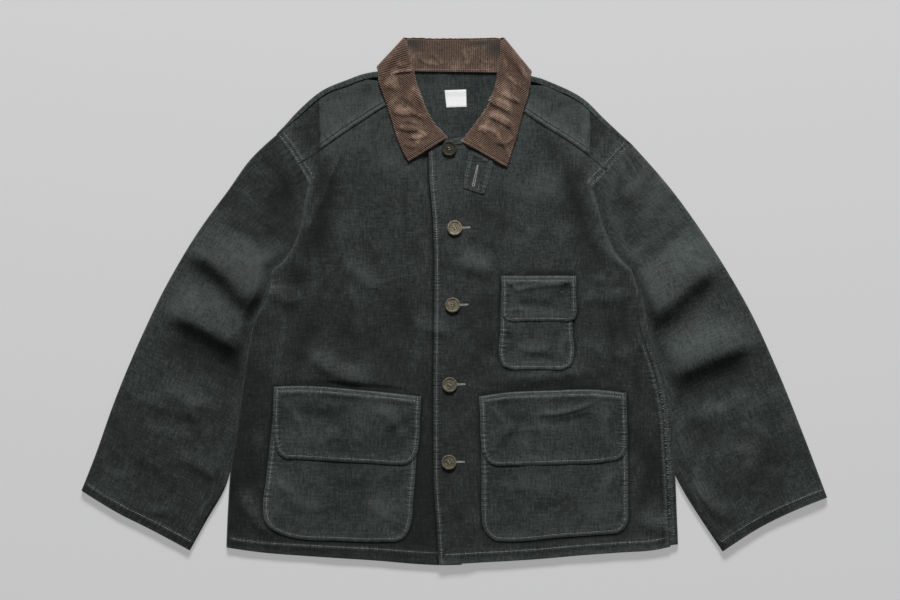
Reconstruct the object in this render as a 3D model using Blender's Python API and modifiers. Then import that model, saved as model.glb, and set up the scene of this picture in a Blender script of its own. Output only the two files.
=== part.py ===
"""Hunting jacket of washed denim with a corduroy collar, laid flat on its back.

+X is the wearer's left, +Y runs toward the collar, +Z is up, and z = 0 is the surface that it lies on.
Every cut piece of cloth is a closed wall of its own.  All tables are in millimetres.
"""
import math

import bmesh
import bpy
import numpy as np
from mathutils import Vector
from mathutils.bvhtree import BVHTree

for item in list(bpy.data.objects):
    bpy.data.objects.remove(item, do_unlink=True)

MM = 0.001
WALL = 1.3              # denim, with its felled seams averaged in
COLLAR_WALL = 1.8       # corduroy on its undercollar
SEAM = 0.15             # half of the gap where two pieces meet
LAYER = 0.5             # clearance between cloth that lies on cloth
FOLD = 3.5              # plan radius of a folded edge
HEM = 13.0              # depth of the turned-up bottom hem
CUFF = 12.0             # depth of the turned-up cuff
TURN = 0.6              # how much a turned-up hem stands out
SLEEVE_HIGH = 4.6       # height of an empty sleeve between its folds
ARM_HIGH = 5.6          # height of the sleeve where it is set in
WEDGE = 5.2             # how far the body rises where a sleeve lies under its side
REST = WALL + LAYER + WALL
LOFT = 1.6              # mean looseness of the fronts over the back
OVERLAP = 32.0          # how far the left front laps over the right one
SIDE_IN = 6.5           # how far the left side seam lies in from the edge
SHOULDER_IN = 4.5       # how far the back comes forward over the shoulder
BEND = math.pi * FOLD   # length of the path round a folded edge

# Outlines of the pieces as they lie.  Each row is a point: x, y.
HEM_RIGHT = [(-318, -346), (-272, -352), (-216, -356), (-160, -359), (-104, -362), (-48, -366), (-20, -367),
             (12, -366)]
HEM_LEFT = [(-21, -370), (36, -367), (120, -362), (176, -357), (232, -353), (283, -349), (313, -342)]
HEM_BACK = [(-318, -344), (-216, -353), (-104, -358), (12, -362), (120, -358), (232, -350), (313, -341)]
SIDE = {"right": [(-318, -346), (-315, -279), (-311, -230), (-302, -174), (-294, -111), (-286, -62), (-276, -21),
                  (-263, 1), (-255, 42)],
        "left": [(313, -342), (311, -293), (307, -219), (300, -139), (291, -100), (274, -48), (260, 5), (249, 42)]}
FOLD_EDGE = {"right": [(-255, 42), (-238, 57), (-223, 82), (-214, 110), (-209, 141), (-203, 166)],
             "left": [(249, 42), (228, 63), (213, 92), (200, 134), (193, 158)]}
ARMHOLE = {"right": [(-248, 233), (-230, 210), (-218, 191), (-203, 166), (-196, 132), (-199, 98), (-218, 64),
                     (-255, 42)],
           "left": [(248, 219), (235, 205), (214, 182), (193, 158), (186, 128), (188, 96), (208, 63), (249, 42)]}
SHOULDER = {"right": [(-248, 233), (-241, 240), (-216, 267), (-182, 295), (-151, 308), (-122, 318), (-108, 320)],
            "left": [(248, 219), (239, 227), (211, 253), (181, 282), (133, 306), (120, 311), (108, 313.5)]}
NECK_BACK = [(-108, 320), (-92, 323), (-76, 325), (-59, 326.5), (0, 325.5), (59, 326.5), (76, 324),
             (92, 320), (108, 313.5)]
NECK_RIGHT = [(-81, 280), (-64, 239), (-42, 225), (-24, 221), (-4, 219)]
NECK_LEFT = [(-36, 217), (-6, 218), (17, 219), (39, 223), (64, 240), (84, 273)]
YOKE_SEAM = {"right": [(-81, 280), (-94, 273), (-132, 249), (-160, 230), (-188, 210), (-218, 191)],
             "left": [(84, 273), (97, 264), (122, 247), (148, 231), (172, 215), (192, 200), (214, 182)]}
NECK_SIDE = {"right": [(-88, 316), (-88, 298), (-81, 280)], "left": [(88, 312), (90, 295), (84, 273)]}
BUTTON_EDGE = [(-21, -370), (-24, -321), (-28, -265), (-29, -195), (-29, -111), (-28, 1), (-28, 65), (-30, 120),
               (-34, 165), (-36, 217)]
SLEEVE_OUT = {"right": [(-522, -266), (-505, -223), (-475, -139), (-440, -55), (-399, 29), (-347, 113),
                        (-316, 155), (-286, 197), (-248, 233)],
              "left": [(522, -276), (486, -181), (452, -97), (413, -13), (363, 71), (304, 155), (248, 219)]}
CUFF_LINE = {"right": [(-522, -266), (-468, -299), (-426, -320), (-370, -350)],
             "left": [(522, -276), (477, -294), (428, -318), (377, -351)]}
SLEEVE_IN = {"right": [(-370, -350), (-346, -307), (-321, -263), (-309, -226), (-283, -167), (-269, -111),
                       (-265, -62), (-264.5, -27), (-264.5, -5), (-262.8, 8), (-260.2, 22), (-255.6, 42)],
             "left": [(377, -351), (346, -305), (324, -270), (308, -240), (283, -181), (267, -111), (264, -62),
                      (262, -27), (262, -5), (260, 8), (256.4, 22), (250, 42)]}

# The largest folds, as soft ridges (height > 0) and troughs (height < 0) along a three-point line.
# Columns: x0, y0, x1, y1, x2, y2, half width, height.
SLEEVE_FOLDS = {
    "right": [(-352, 82, -300, 22, -262, -8, 15, 4.5), (-378, 34, -325, -22, -280, -50, 13, -1.6),
              (-404, -2, -330, -62, -284, -84, 16, 4.2), (-392, -60, -340, -92, -290, -108, 14, -1.4),
              (-280, 175, -262, 120, -245, 70, 11, 2.0), (-470, -268, -425, -296, -392, -292, 9, 1.8),
              (-380, -216, -350, -236, -330, -250, 10, 1.6)],
    "left": [(348, 58, 300, 8, 268, -22, 15, 4.5), (378, 8, 330, -32, 296, -62, 13, -1.6),
             (406, -48, 350, -78, 300, -100, 16, 4.2), (390, -92, 345, -112, 305, -126, 14, -1.2),
             (398, -196, 408, -222, 414, -262, 9, 1.8), (338, -250, 364, -292, 400, -306, 10, 1.8),
             (290, 150, 272, 110, 262, 70, 10, 1.6)]}
BODY_FOLDS = [(-167, 200, -187, 120, -192, 40, 13, -1.6), (-194, 0, -206, -55, -225, -108, 14, -1.6),
              (-210, -62, -170, -94, -120, -110, 10, 1.6), (-120, 76, -110, 36, -102, -6, 12, -1.5),
              (-288, -140, -284, -210, -258, -318, 12, -1.3), (-20, 60, 0, 10, 10, -60, 16, 1.0),
              (97, 258, 146, 200, 186, 90, 12, -1.6), (190, 40, 214, -20, 222, -100, 13, -1.4),
              (60, -112, 130, -106, 200, -100, 8, 1.2), (294, -205, 279, -265, 240, -326, 12, -1.5),
              (250, -20, 262, -90, 268, -170, 10, 1.2), (46, 20, 50, -40, 44, -100, 12, -1.2)]

# Patch pockets and flaps.  Each side is a short line: x, y.
POCKETS = {
    "chest_pocket": {"top": [(66, 14), (165, 14)], "right": [(165, -86), (165.5, -36), (165, 14)],
                     "left": [(65, -86), (65.5, -36), (66, 14)],
                     "bottom": [(65, -86), (75, -95), (113, -96.5), (155, -95.5), (165, -86)]},
    "lower_pocket_right": {"top": [(-252, -150), (-150, -150), (-50, -158)],
                           "right": [(-61, -325), (-57, -275), (-50, -158)],
                           "left": [(-265, -316), (-268, -290), (-263, -249), (-252, -150)],
                           "bottom": [(-265, -316), (-250, -328), (-160, -336), (-84, -338), (-61, -325)]},
    "lower_pocket_left": {"top": [(37, -156), (140, -154), (242, -156)],
                          "right": [(238, -322), (243, -282), (242, -156)],
                          "left": [(42, -326), (39, -282), (37, -156)],
                          "bottom": [(42, -326), (60, -337), (150, -332.5), (226, -327), (238, -322)]}}
FLAPS = {
    "chest_flap": {"top": [(66, 35), (118, 35), (171, 35)], "right": [(167, -26), (171.5, -14), (171, 35)],
                   "left": [(71, -26), (67, -14), (66, 35)],
                   "bottom": [(71, -26), (80, -28.5), (119, -29), (158, -28.5), (167, -26)]},
    "lower_flap_right": {"top": [(-252, -120), (-206, -119.5), (-132, -125), (-46, -134)],
                         "right": [(-62, -226), (-51, -204), (-46, -134)],
                         "left": [(-244, -218), (-253, -190), (-252, -120)],
                         "bottom": [(-244, -218), (-180, -222), (-125, -229), (-80, -230), (-62, -226)]},
    "lower_flap_left": {"top": [(35, -134), (70, -129), (132, -126), (203, -125), (241, -129)],
                        "right": [(236, -219), (242, -204), (241, -129)],
                        "left": [(49, -226), (38, -190), (35, -134)],
                        "bottom": [(49, -226), (62, -230), (150, -229), (216, -225), (236, -219)]}}
BUTTONS = [(-7, 213), (1, 102), (-2, -6), (-6, -117.5), (-7, -226)]
BUTTON_ACROSS = 21.0
BUTTON_THICK = 2.6


class Line:
    """A smooth line through points, read by fraction or by distance along it."""

    def __init__(self, points, steps=14):
        p = np.array(points, float)
        if len(p) == 2:
            p = np.array([p[0], (p[0] + p[1]) / 2, p[1]])
        gaps = np.linalg.norm(np.diff(p, axis=0), axis=1)
        slopes = np.diff(p, axis=0) / gaps[:, None]
        tangents = np.empty_like(p)
        tangents[1:-1] = ((slopes[:-1] * gaps[1:, None] + slopes[1:] * gaps[:-1, None])
                          / (gaps[:-1] + gaps[1:])[:, None])
        tangents[0] = 1.5 * slopes[0] - 0.5 * tangents[1]
        tangents[-1] = 1.5 * slopes[-1] - 0.5 * tangents[-2]
        t = np.linspace(0, 1, steps, endpoint=False)[:, None]
        parts = []
        for k, gap in enumerate(gaps):
            parts.append((2 * t**3 - 3 * t**2 + 1) * p[k] + (t**3 - 2 * t**2 + t) * tangents[k] * gap
                         + (3 * t**2 - 2 * t**3) * p[k + 1] + (t**3 - t**2) * tangents[k + 1] * gap)
        self.points = np.vstack(parts + [p[-1:]])
        self.marks = np.concatenate([[0], np.cumsum(np.linalg.norm(np.diff(self.points, axis=0), axis=1))])
        self.length = self.marks[-1]

    def along(self, distance):
        d = np.asarray(distance, float)
        return np.stack([np.interp(d, self.marks, self.points[:, k]) for k in range(self.points.shape[1])], -1)

    def at(self, fraction):
        return self.along(np.asarray(fraction, float) * self.length)


def joined(*tables):
    """One polyline from several smooth lines, with their corners kept."""
    line = Line(tables[0])
    for table in tables[1:]:
        line.points = np.vstack([line.points, Line(table).points[1:]])
    line.marks = np.concatenate([[0], np.cumsum(np.linalg.norm(np.diff(line.points, axis=0), axis=1))])
    line.length = line.marks[-1]
    return line


def ease(value, start, end):
    """0 before start, 1 past end, smooth between."""
    t = np.clip((np.asarray(value, float) - start) / (end - start), 0, 1)
    return t * t * (3 - 2 * t)


def offset_from(line, x, y):
    """Distance of points from a polyline, and the distance along it of the nearest place."""
    a = line.points[:-1]
    ab = line.points[1:] - a
    size = np.maximum((ab**2).sum(1), 1e-9)
    p = np.stack([np.ravel(x), np.ravel(y)], -1)[:, None, :]
    t = np.clip(((p - a) * ab).sum(2) / size, 0, 1)
    away = np.linalg.norm(p - (a + t[..., None] * ab), axis=2)
    best = away.argmin(1)
    rows = np.arange(len(best))
    place = line.marks[best] + t[rows, best] * np.sqrt(size[best])
    side = ab[best, 0] * (p[:, 0, 1] - a[best, 1]) - ab[best, 1] * (p[:, 0, 0] - a[best, 0])
    shape = np.shape(x)
    return (away[rows, best] * np.sign(side)).reshape(shape), place.reshape(shape)


FOLD_LINES = {}


def folds(table, x, y):
    """Sum of the soft ridges and troughs of a table."""
    total = np.zeros(np.shape(x))
    for row in table:
        if row not in FOLD_LINES:
            FOLD_LINES[row] = Line([row[0:2], row[2:4], row[4:6]], 6)
        line = FOLD_LINES[row]
        away, place = offset_from(line, x, y)
        ends = ease(place, 0, 0.3 * line.length) * (1 - ease(place, 0.7 * line.length, line.length))
        total = total + row[7] * np.exp(-(away / row[6])**2) * (0.15 + 0.85 * ends)
    return total


# The line that the body's own edge makes over each sleeve: the fold over the armhole, then the side.
COVER = {"right": joined(SIDE["right"], FOLD_EDGE["right"]), "left": joined(SIDE["left"], FOLD_EDGE["left"])}
CREASE = {"right": Line([(-203, 166), (-198, 176), (-188, 210), (-186, 250), (-184, 286)]),
          "left": Line([(193, 158), (187, 180), (185, 201), (188, 240), (190, 272)])}
ARM_LINE = {name: Line(table) for name, table in ARMHOLE.items()}
IN_LINE = {name: Line(table) for name, table in SLEEVE_IN.items()}
SIGN = {"right": -1.0, "left": 1.0}
LAST_UNDER = {"right": -226.0, "left": -246.0}      # where each sleeve comes out from under the side


def inward(name, x, y):
    """Distance from the covering edge toward the body's middle, negative over the open sleeve."""
    away, place = offset_from(COVER[name], x, y)
    return away * SIGN[name], place


def wedge(x, y):
    """Rise of the body's under layer where a sleeve lies below it, and at the neck over the collar."""
    total = np.zeros(np.shape(x))
    for name in SIGN:
        line = IN_LINE[name]
        order = np.argsort(line.points[:, 1])
        edge = np.interp(y, line.points[order, 1], line.points[order, 0])
        past = (edge - x) * SIGN[name]
        low = LAST_UNDER[name]
        tall = (1 - ease(y, 8, 40)) * ease(y, low - 62, low - 4)
        total = np.maximum(total, WEDGE * tall * (1 - ease(past, 10, 56)))
    return total


def neck_rise(x, y):
    return 2.5 * ease(y, 282, 308) * (1 - ease(np.abs(x), 108, 150))


def sleeve_top(name, x, y):
    """Height of a sleeve's upper face."""
    past, place = inward(name, x, y)
    set_in = offset_from(ARM_LINE[name], x, y)[0]
    near_arm = np.exp(-(set_in / 40.0)**2) * ease(y, 20, 60)
    free = ease(-past, 2, 26)
    base = SLEEVE_HIGH - 0.2 * (1 - free) + (ARM_HIGH - SLEEVE_HIGH) * near_arm + 1.0 * free
    high = folds(SLEEVE_FOLDS[name], x, y) * free
    return np.maximum(base + high, 4.2)


def front_top(x, y):
    """Height of the fronts' and yokes' upper face over the back."""
    high = REST + LOFT + folds(BODY_FOLDS, x, y)
    high = np.maximum(high, REST + 0.25)
    for name in SIGN:
        here = (np.sign(x) == SIGN[name]) * 1.0
        past, place = inward(name, x, y)
        past = np.abs(past)
        side = (1 - ease(y, 30, 60))
        high = np.maximum(high, here * (REST + 2.0 * np.exp(-(past / 22.0)**2)) * side)
        crease, spot = offset_from(CREASE[name], x, y)
        inner = ease(crease * SIGN[name], -6, 4)
        # the cloth that hangs over the armhole seam is the highest part of the chest
        over = ease(y, 0, 46) * (1 - ease(y, 200, 330)) * np.where(y > 166, inner, 1.0)
        reach = np.where(y > 166, np.abs(crease), past)
        lap = 6.4 * over * (1 - ease(reach, 16, 74))
        high = np.maximum(high, here * (REST + lap))
        arm, spot = offset_from(ARM_LINE[name], x, y)
        sewn = (ARM_HIGH - REST) * ease(y, 120, 170) * (1 - ease(np.abs(arm), 10, 60))
        high = np.maximum(high, here * (REST + sewn))
        shoulder = offset_from(SHOULDER_LINE[name], x, y)[0]
        sewn = (ARM_HIGH - REST) * ease(np.abs(x), 115, 180) * (1 - ease(np.abs(shoulder), 8, 46))
        high = np.maximum(high, here * (REST + sewn))
    neck = ease(y, 200, 260) * (1 - ease(np.abs(x), 88, 128))
    high = high * (1 - neck) + np.minimum(high, REST + 1.0) * neck
    return high + wedge(x, y) + neck_rise(x, y)


def closure_top(x, y):
    """Height of the left front, which laps over the right one at the buttons."""
    edge = np.interp(y, BUTTON_LINE.points[::1, 1], BUTTON_LINE.points[::1, 0])
    past = x - edge
    lap = (LAYER + WALL + 0.15) * (1 - ease(past, OVERLAP + 4, OVERLAP + 30))
    return front_top(x, y) + lap


SHOULDER_LINE = {name: Line(table) for name, table in SHOULDER.items()}
BUTTON_LINE = Line(BUTTON_EDGE)


def round_edge(s, high, low, mid=None, wall=WALL):
    """Section of a folded edge at path length s from the start of the turn on the lower layer.

    Gives the plan distance from the edge and the height, of the outer and of the inner face."""
    mid = (high + low) / 2 if mid is None else mid
    phi = np.clip(s / FOLD, 0, math.pi)
    flat = np.where(s < 0, -s, np.where(s > BEND, s - BEND, 0))
    up, down = high - mid, mid - low
    rise = np.where(phi > math.pi / 2, up, down)
    inner = np.maximum(rise - wall, 0.15)
    out_d = FOLD - FOLD * np.sin(phi) + flat
    in_d = FOLD - (FOLD - wall) * np.sin(phi) + flat
    return out_d, mid - rise * np.cos(phi), in_d, mid - inner * np.cos(phi)


def rows_between(bottom, top, lefts, rights, weights, low_power=1.0, top_power=1.0, dense=81):
    """Plan rows of a four-sided piece: chords between its sides that take on the shape of its ends near them."""
    u = np.linspace(0, 1, dense)[:, None]
    b, t = bottom.at(u[:, 0]), top.at(u[:, 0])
    b_shape = b - (1 - u) * b[0] - u * b[-1]
    t_shape = t - (1 - u) * t[0] - u * t[-1]
    rows = []
    for left, right, v in zip(lefts, rights, weights):
        rows.append((1 - u) * left + u * right + (1 - v)**low_power * b_shape + v**top_power * t_shape)
    return rows


class Row:
    """One plan row, read by distance from its left end or from its right end."""

    def __init__(self, points):
        self.points = points
        self.marks = np.concatenate([[0], np.cumsum(np.linalg.norm(np.diff(points, axis=0), axis=1))])
        self.length = self.marks[-1]

    def left(self, d):
        d = np.asarray(d, float)
        return np.stack([np.interp(d, self.marks, self.points[:, k]) for k in (0, 1)], -1)

    def right(self, d):
        return self.left(self.length - np.asarray(d, float))


PARTS = bpy.data.collections.new("hunting_jacket")
bpy.context.scene.collection.children.link(PARTS)


def material(name, colour, roughness):
    made = bpy.data.materials.new(name)
    made.use_nodes = True
    shader = made.node_tree.nodes["Principled BSDF"]
    shader.inputs["Base Color"].default_value = (*colour, 1.0)
    shader.inputs["Roughness"].default_value = roughness
    shader.inputs["Metallic"].default_value = 0.0
    return made


DENIM = material("washed_denim", (0.036, 0.042, 0.041), 0.92)
CORDUROY = material("brown_corduroy", (0.085, 0.052, 0.038), 0.95)
WHITE = material("white_label", (0.85, 0.86, 0.84), 0.7)
HORN = material("olive_button", (0.19, 0.17, 0.11), 0.45)


def wall_between(name, outer, inner, look):
    """Closed wall from a grid of outer points and a grid of inner points, both rows x columns x 3 in mm."""
    rows, columns = outer.shape[:2]
    mesh = bpy.data.meshes.new(name)
    bm = bmesh.new()
    sheets = []
    for face_points in (outer, inner):
        before = set(bm.verts)
        bmesh.ops.create_grid(bm, x_segments=columns - 1, y_segments=rows - 1, size=1.0)
        bm.verts.ensure_lookup_table()
        new = [v for v in bm.verts if v not in before]
        new.sort(key=lambda v: (round(v.co.y, 5), round(v.co.x, 5)))
        for vert, point in zip(new, face_points.reshape(-1, 3)):
            vert.co = Vector(point) * MM
        sheets.append(np.array(new, dtype=object).reshape(rows, columns))
    a, b = sheets
    rim = ([(0, c) for c in range(columns)] + [(r, columns - 1) for r in range(1, rows)]
           + [(rows - 1, c) for c in range(columns - 2, -1, -1)] + [(r, 0) for r in range(rows - 2, 0, -1)])
    for k, here in enumerate(rim):
        there = rim[(k + 1) % len(rim)]
        bm.faces.new((a[here], a[there], b[there], b[here]))
    bmesh.ops.recalc_face_normals(bm, faces=bm.faces)
    for face in bm.faces:
        face.smooth = True
    bm.to_mesh(mesh)
    bm.free()
    mesh.materials.append(look)
    made = bpy.data.objects.new(name, mesh)
    PARTS.objects.link(made)
    return made


def stack(xy, z):
    return np.concatenate([xy, np.asarray(z, float)[..., None]], -1)


SLEEVE_ROWS = 13
# Rows that the back and the fronts share along the sides, as shares of a side's length.
SIDE_ROWS = [HEM / 400, (HEM + 2) / 400] + list(np.linspace(0.09, 0.9, 9)) + [0.945, 0.985]


# ---------------------------------------------------------------- sleeves
# Where the sleeve and the body share points: along the part of the armhole that shows, from the shoulder tip,
# and along the part that the body hides, from the underarm.
ARM_UPPER = [0.09, 0.2, 0.31, 0.42, 0.53, 0.64, 0.77]
ARM_LOWER = [0.14, 0.3, 0.47, 0.64, 0.82]
ARM_HIDDEN = [0.0, 0.12, 0.33, 0.56, 0.79, 1.0]


def arm_lines(name, shift=0.0):
    """The armhole from the shoulder tip to where the body's fold covers it, and from there to the underarm."""
    whole = Line(ARMHOLE[name])
    run = np.gradient(whole.points, axis=0)
    toward = np.stack([run[:, 1], -run[:, 0]], 1) * -SIGN[name]
    whole.points = whole.points + shift * toward / np.linalg.norm(toward, axis=1)[:, None]
    seen, hidden = Line([(0, 0), (1, 1)]), Line([(0, 0), (1, 1)])
    corner = 5 * 14
    seen.points, hidden.points = whole.points[:corner + 1], whole.points[corner:][::-1]
    for part in (seen, hidden):
        part.marks = np.concatenate([[0], np.cumsum(np.linalg.norm(np.diff(part.points, axis=0), axis=1))])
        part.length = part.marks[-1]
    return seen, hidden


def make_sleeve(name):
    seen, hidden = arm_lines(name, 3 * SEAM)
    bottom, out, inn = Line(CUFF_LINE[name]), Line(SLEEVE_OUT[name]), Line(SLEEVE_IN[name])
    under = 0.70
    ends = [0.0004, 0.011, 0.022, 0.026]
    free = ends + list(np.linspace(0.065, under - 0.08, SLEEVE_ROWS - 2)) + [under - s for s in (0.056, 0.034, 0.015, 0.0)]
    held = [under + (1 - under) * h for h in ARM_HIDDEN[1:]]
    outer, inner = [], []
    turn = np.array([0, 0.28, 0.5, 0.72, 1.0]) * BEND
    count_low = 5
    for w in free + held:
        right = inn.at(w / under) if w <= under else hidden.at((w - under) / (1 - under))
        row = Row(rows_between(bottom, seen, [out.at(w)], [right], [w])[0])
        joined_on = w <= under
        lift = 1 - ease(w, under - 0.17, under - 0.02)
        seam = BEND / 2 + (BEND / 2 + 5.0) * lift
        reach = row.length
        plan_out, plan_in, z_out, z_in = [], [], [], []
        edge_height = float(sleeve_top(name, *row.right(FOLD)))

        def lay(d_out, d_in, zo, zi):
            plan_out.append(row.left(d_out))
            plan_in.append(row.left(d_in))
            z_out.append(float(zo))
            z_in.append(float(zi))

        def inner_edge(share, path_from, path_to, top):
            s = path_from + (path_to - path_from) * share
            if joined_on:
                do, zo, di, zi = round_edge(np.array(s), edge_height, 0.0)
                lay(reach - do, reach - di, zo, zi)
            else:
                d = 12.0 * (1 - share)
                p = row.right(d)
                z = float(sleeve_top(name, *p)) if top else 0.0
                lay(reach - d, reach - d, z, z - WALL if top else WALL)

        # the seam's lower side, the under layer, the outer edge, the upper layer, the seam's upper side
        for share in (1.0, 0.83, 0.66, 0.5, 0.33, 0.0):
            inner_edge(share, 0.0, seam - SEAM, False)
        share_arm = ease(w, 0.7, 1.0)
        even = np.linspace(13.0, reach - 16.0, len(ARM_LOWER))
        for d in (even * (1 - share_arm) + np.array(ARM_LOWER) * reach * share_arm)[::-1]:
            lay(d, d, 0.0, WALL)
        near = row.left(FOLD)
        height = float(sleeve_top(name, *near))
        for s in turn:
            do, zo, di, zi = round_edge(np.array(s), height, 0.0)
            lay(do, di, zo, zi)
        even = np.linspace(FOLD, reach - 16.0, len(ARM_UPPER) + 2)[1:-1]
        for d in even * (1 - share_arm) + np.array(ARM_UPPER) * reach * share_arm:
            p = row.left(d)
            z = float(sleeve_top(name, *p))
            lay(d, d, z, z - WALL)
        for share in (0.0, 0.5, 1.0):
            if joined_on:
                far = max(BEND, seam + SEAM + 2.0)
                s = seam + SEAM + (far + 2.0 - seam) * (1 - share)
                do, zo, di, zi = round_edge(np.array(s), edge_height, 0.0)
                lay(reach - do, reach - di, zo, zi)
            else:
                inner_edge(share, 0.0, 0.0, True)
        hem = TURN * (1 - ease(w, 0.022, 0.026))
        z_out = np.array(z_out)
        outer.append(stack(np.array(plan_out), z_out + hem * (z_out > 2.5)))
        inner.append(stack(np.array(plan_in), z_in))
    return wall_between("sleeve_" + name, np.array(outer), np.array(inner), DENIM)


for side_name in SIGN:
    make_sleeve(side_name)


# ---------------------------------------------------------------- back
def back_low(x, y):
    return wedge(x, y) + neck_rise(x, y)


def side_seam(v_y):
    """Path length at which the left side seam lies: on top of the edge, and at its apex under the arm."""
    return BEND / 2 + (BEND / 2 + SIDE_IN) * (1 - ease(v_y, -30, 34))


def across(reach, high=0.0):
    """Places of a row's columns: close together over the sleeves that lie under the sides, and at the neck's ends."""
    low = [17.0, 28.0, 42.0, 62.0, 90.0] + list(np.linspace(90.0, reach / 2, 6)[1:-1])
    top = [24.0, 58.0, 94.0, 128.0, 143.0, 153.0, 162.0, 172.0, 194.0]
    half = np.array(low) * (1 - high) + np.array(top) * high
    return list(half) + [reach - d for d in half[::-1]]


def make_back():
    hem, top = Line(HEM_BACK), joined(SHOULDER["right"], NECK_BACK, SHOULDER["left"][::-1])
    sides = {name: Line(SIDE[name]) for name in SIGN}
    sides["left"] = Line(SIDE["left"])
    arms = {name: arm_lines(name) for name in SIGN}
    low = [0.002] + SIDE_ROWS
    fractions = [("side", f) for f in low] + [("arm", a) for a in [0.02] + ARM_HIDDEN[1:]]
    fractions += [("seen", a) for a in [0.92] + ARM_LOWER[::-1]]
    fractions += [("top", p) for p in (0.0, 0.25, 0.42, 0.6, 0.8, 1.0)]
    outer, inner = [], []
    total = 660.0
    for kind, f in fractions:
        if kind == "side":
            lefts = rights = f
            left, right = sides["right"].at(f), sides["left"].at(f)
            v = f * 390.0 / total
            make = rows_between(hem, top, [left], [right], [v], 2.0, 5.0)
            outer_row = inner_row = Row(make[0])
        elif kind == "arm" or kind == "seen":
            part = 1 if kind == "arm" else 0
            left, right = arms["right"][part].at(f), arms["left"][part].at(f)
            v = (390.0 + 105.0 * f) / total if kind == "arm" else (645.0 - 150.0 * f) / total
            make = rows_between(hem, top, [left], [right], [v], 2.0, 5.0)
            outer_row = inner_row = Row(make[0])
        columns_out, columns_in, z_out, z_in = [], [], [], []
        if kind == "top":
            outer_row = inner_row = None
        if kind != "top":
            p_left, p_right = outer_row.left(FOLD), outer_row.right(FOLD)
            wrapped = 1.0 if kind == "side" else 0.0
            ends = {"left": BEND / 2 - SEAM}
            ends["right"] = float(side_seam(outer_row.right(0.0)[1])) - SEAM if kind == "side" else BEND / 2
            reach = outer_row.length

            def place(d_out, d_in, zo, zi):
                columns_out.append(outer_row.left(d_out))
                columns_in.append(inner_row.left(d_in))
                z_out.append(zo)
                z_in.append(zi)

            def bend(side, steps):
                near = p_left if side == "left" else p_right
                base = float(back_low(*near))
                crest = float(front_top(*near))
                for k in steps:
                    s = ends[side] * k
                    if wrapped:
                        do, zo, di, zi = round_edge(np.array(s), crest, base)
                    else:
                        do = di = 12.0 * (1 - k)
                        zo, zi = base, base + WALL
                    if side == "left":
                        place(do, di, float(zo), float(zi))
                    else:
                        place(reach - do, reach - di, float(zo), float(zi))

            bend("left", (1.0, 0.62, 0.3, 0.0))
            for d in across(reach, float(ease(v, 0.5, 0.98))):
                p = outer_row.left(d)
                base = float(back_low(*p))
                place(d, d, base, base + WALL)
            bend("right", (0.0, 0.17, 0.34, 0.5, 0.67, 0.84, 1.0))
            plan_out, plan_in = np.array(columns_out), np.array(columns_in)
        else:
            # rows that turn forward over the shoulders; at the neck they stay on the under layer
            plan_out, plan_in = [], []
            edge_row = Row(top.points)
            stops = ([12.0 * (1 - k) for k in (1.0, 0.62, 0.3, 0.0)] + across(edge_row.length, 1.0)
                     + [edge_row.length - 12.0 * (1 - k) for k in (0.0, 0.17, 0.34, 0.5, 0.67, 0.84, 1.0)])
            for stop in stops:
                share = stop / edge_row.length
                here = edge_row.left(stop)
                x = here[0]
                shoulder = ease(abs(x), 82, 124)
                near_tip = ease(abs(x), 215, 250)
                end = (BEND + SHOULDER_IN - 3.5 * near_tip - SEAM) * shoulder - 0.4 * (1 - shoulder)
                s = -9.0 + (end + 9.0) * f
                base = float(back_low(here[0], here[1] - FOLD))
                crest = float(front_top(here[0], here[1] - FOLD))
                do, zo, di, zi = round_edge(np.array(s), crest, base)
                do, di = do * (0.55 + 0.45 * shoulder), di * (0.55 + 0.45 * shoulder)
                # step back from the shoulder line along the run of the armhole
                lefts = [arms["right"][0].along(d) for d in (do, di)]
                rights = [arms["left"][0].along(d) for d in (do, di)]
                at = []
                for d, left, right in zip((do, di), lefts, rights):
                    row = Row(rows_between(hem, top, [left], [right], [1.0 - float(d) / total], 2.0, 5.0)[0])
                    at.append(row.left(share * row.length))
                plan_out.append(at[0])
                plan_in.append(at[1])
                z_out.append(float(zo))
                z_in.append(float(zi))
            plan_out, plan_in = np.array(plan_out), np.array(plan_in)
        outer.append(stack(plan_out, z_out))
        inner.append(stack(plan_in, z_in))
    return wall_between("back", np.array(outer), np.array(inner), DENIM)


make_back()


# ---------------------------------------------------------------- yokes and fronts
def back_row(hem, top, arms, share, down):
    """Point of the back's patch at a share of its width, a distance down from its top edge."""
    lefts, rights = arms["right"][0].along(down), arms["left"][0].along(down)
    row = Row(rows_between(hem, top, [lefts], [rights], [1.0 - down / 660.0], 2.0, 5.0)[0])
    return row.left(share * row.length)


def shoulder_seam(name):
    """The line where the back, turned forward over the shoulder, meets the yoke: from the armhole to the neck."""
    hem, top = Line(HEM_BACK), joined(SHOULDER["right"], NECK_BACK, SHOULDER["left"][::-1])
    arms = {side: arm_lines(side) for side in SIGN}
    points = []
    width = Row(top.points).length
    for place in (0.0, 12.0, 24.0, 58.0, 94.0, 128.0, 148.0):
        share = place / width if name == "right" else 1 - place / width
        x = top.at(share)[0]
        down = FOLD + SHOULDER_IN - 3.5 * float(ease(abs(x), 215, 250)) + 4 * SEAM
        points.append(tuple(back_row(hem, top, arms, share, down)))
    return points


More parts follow.
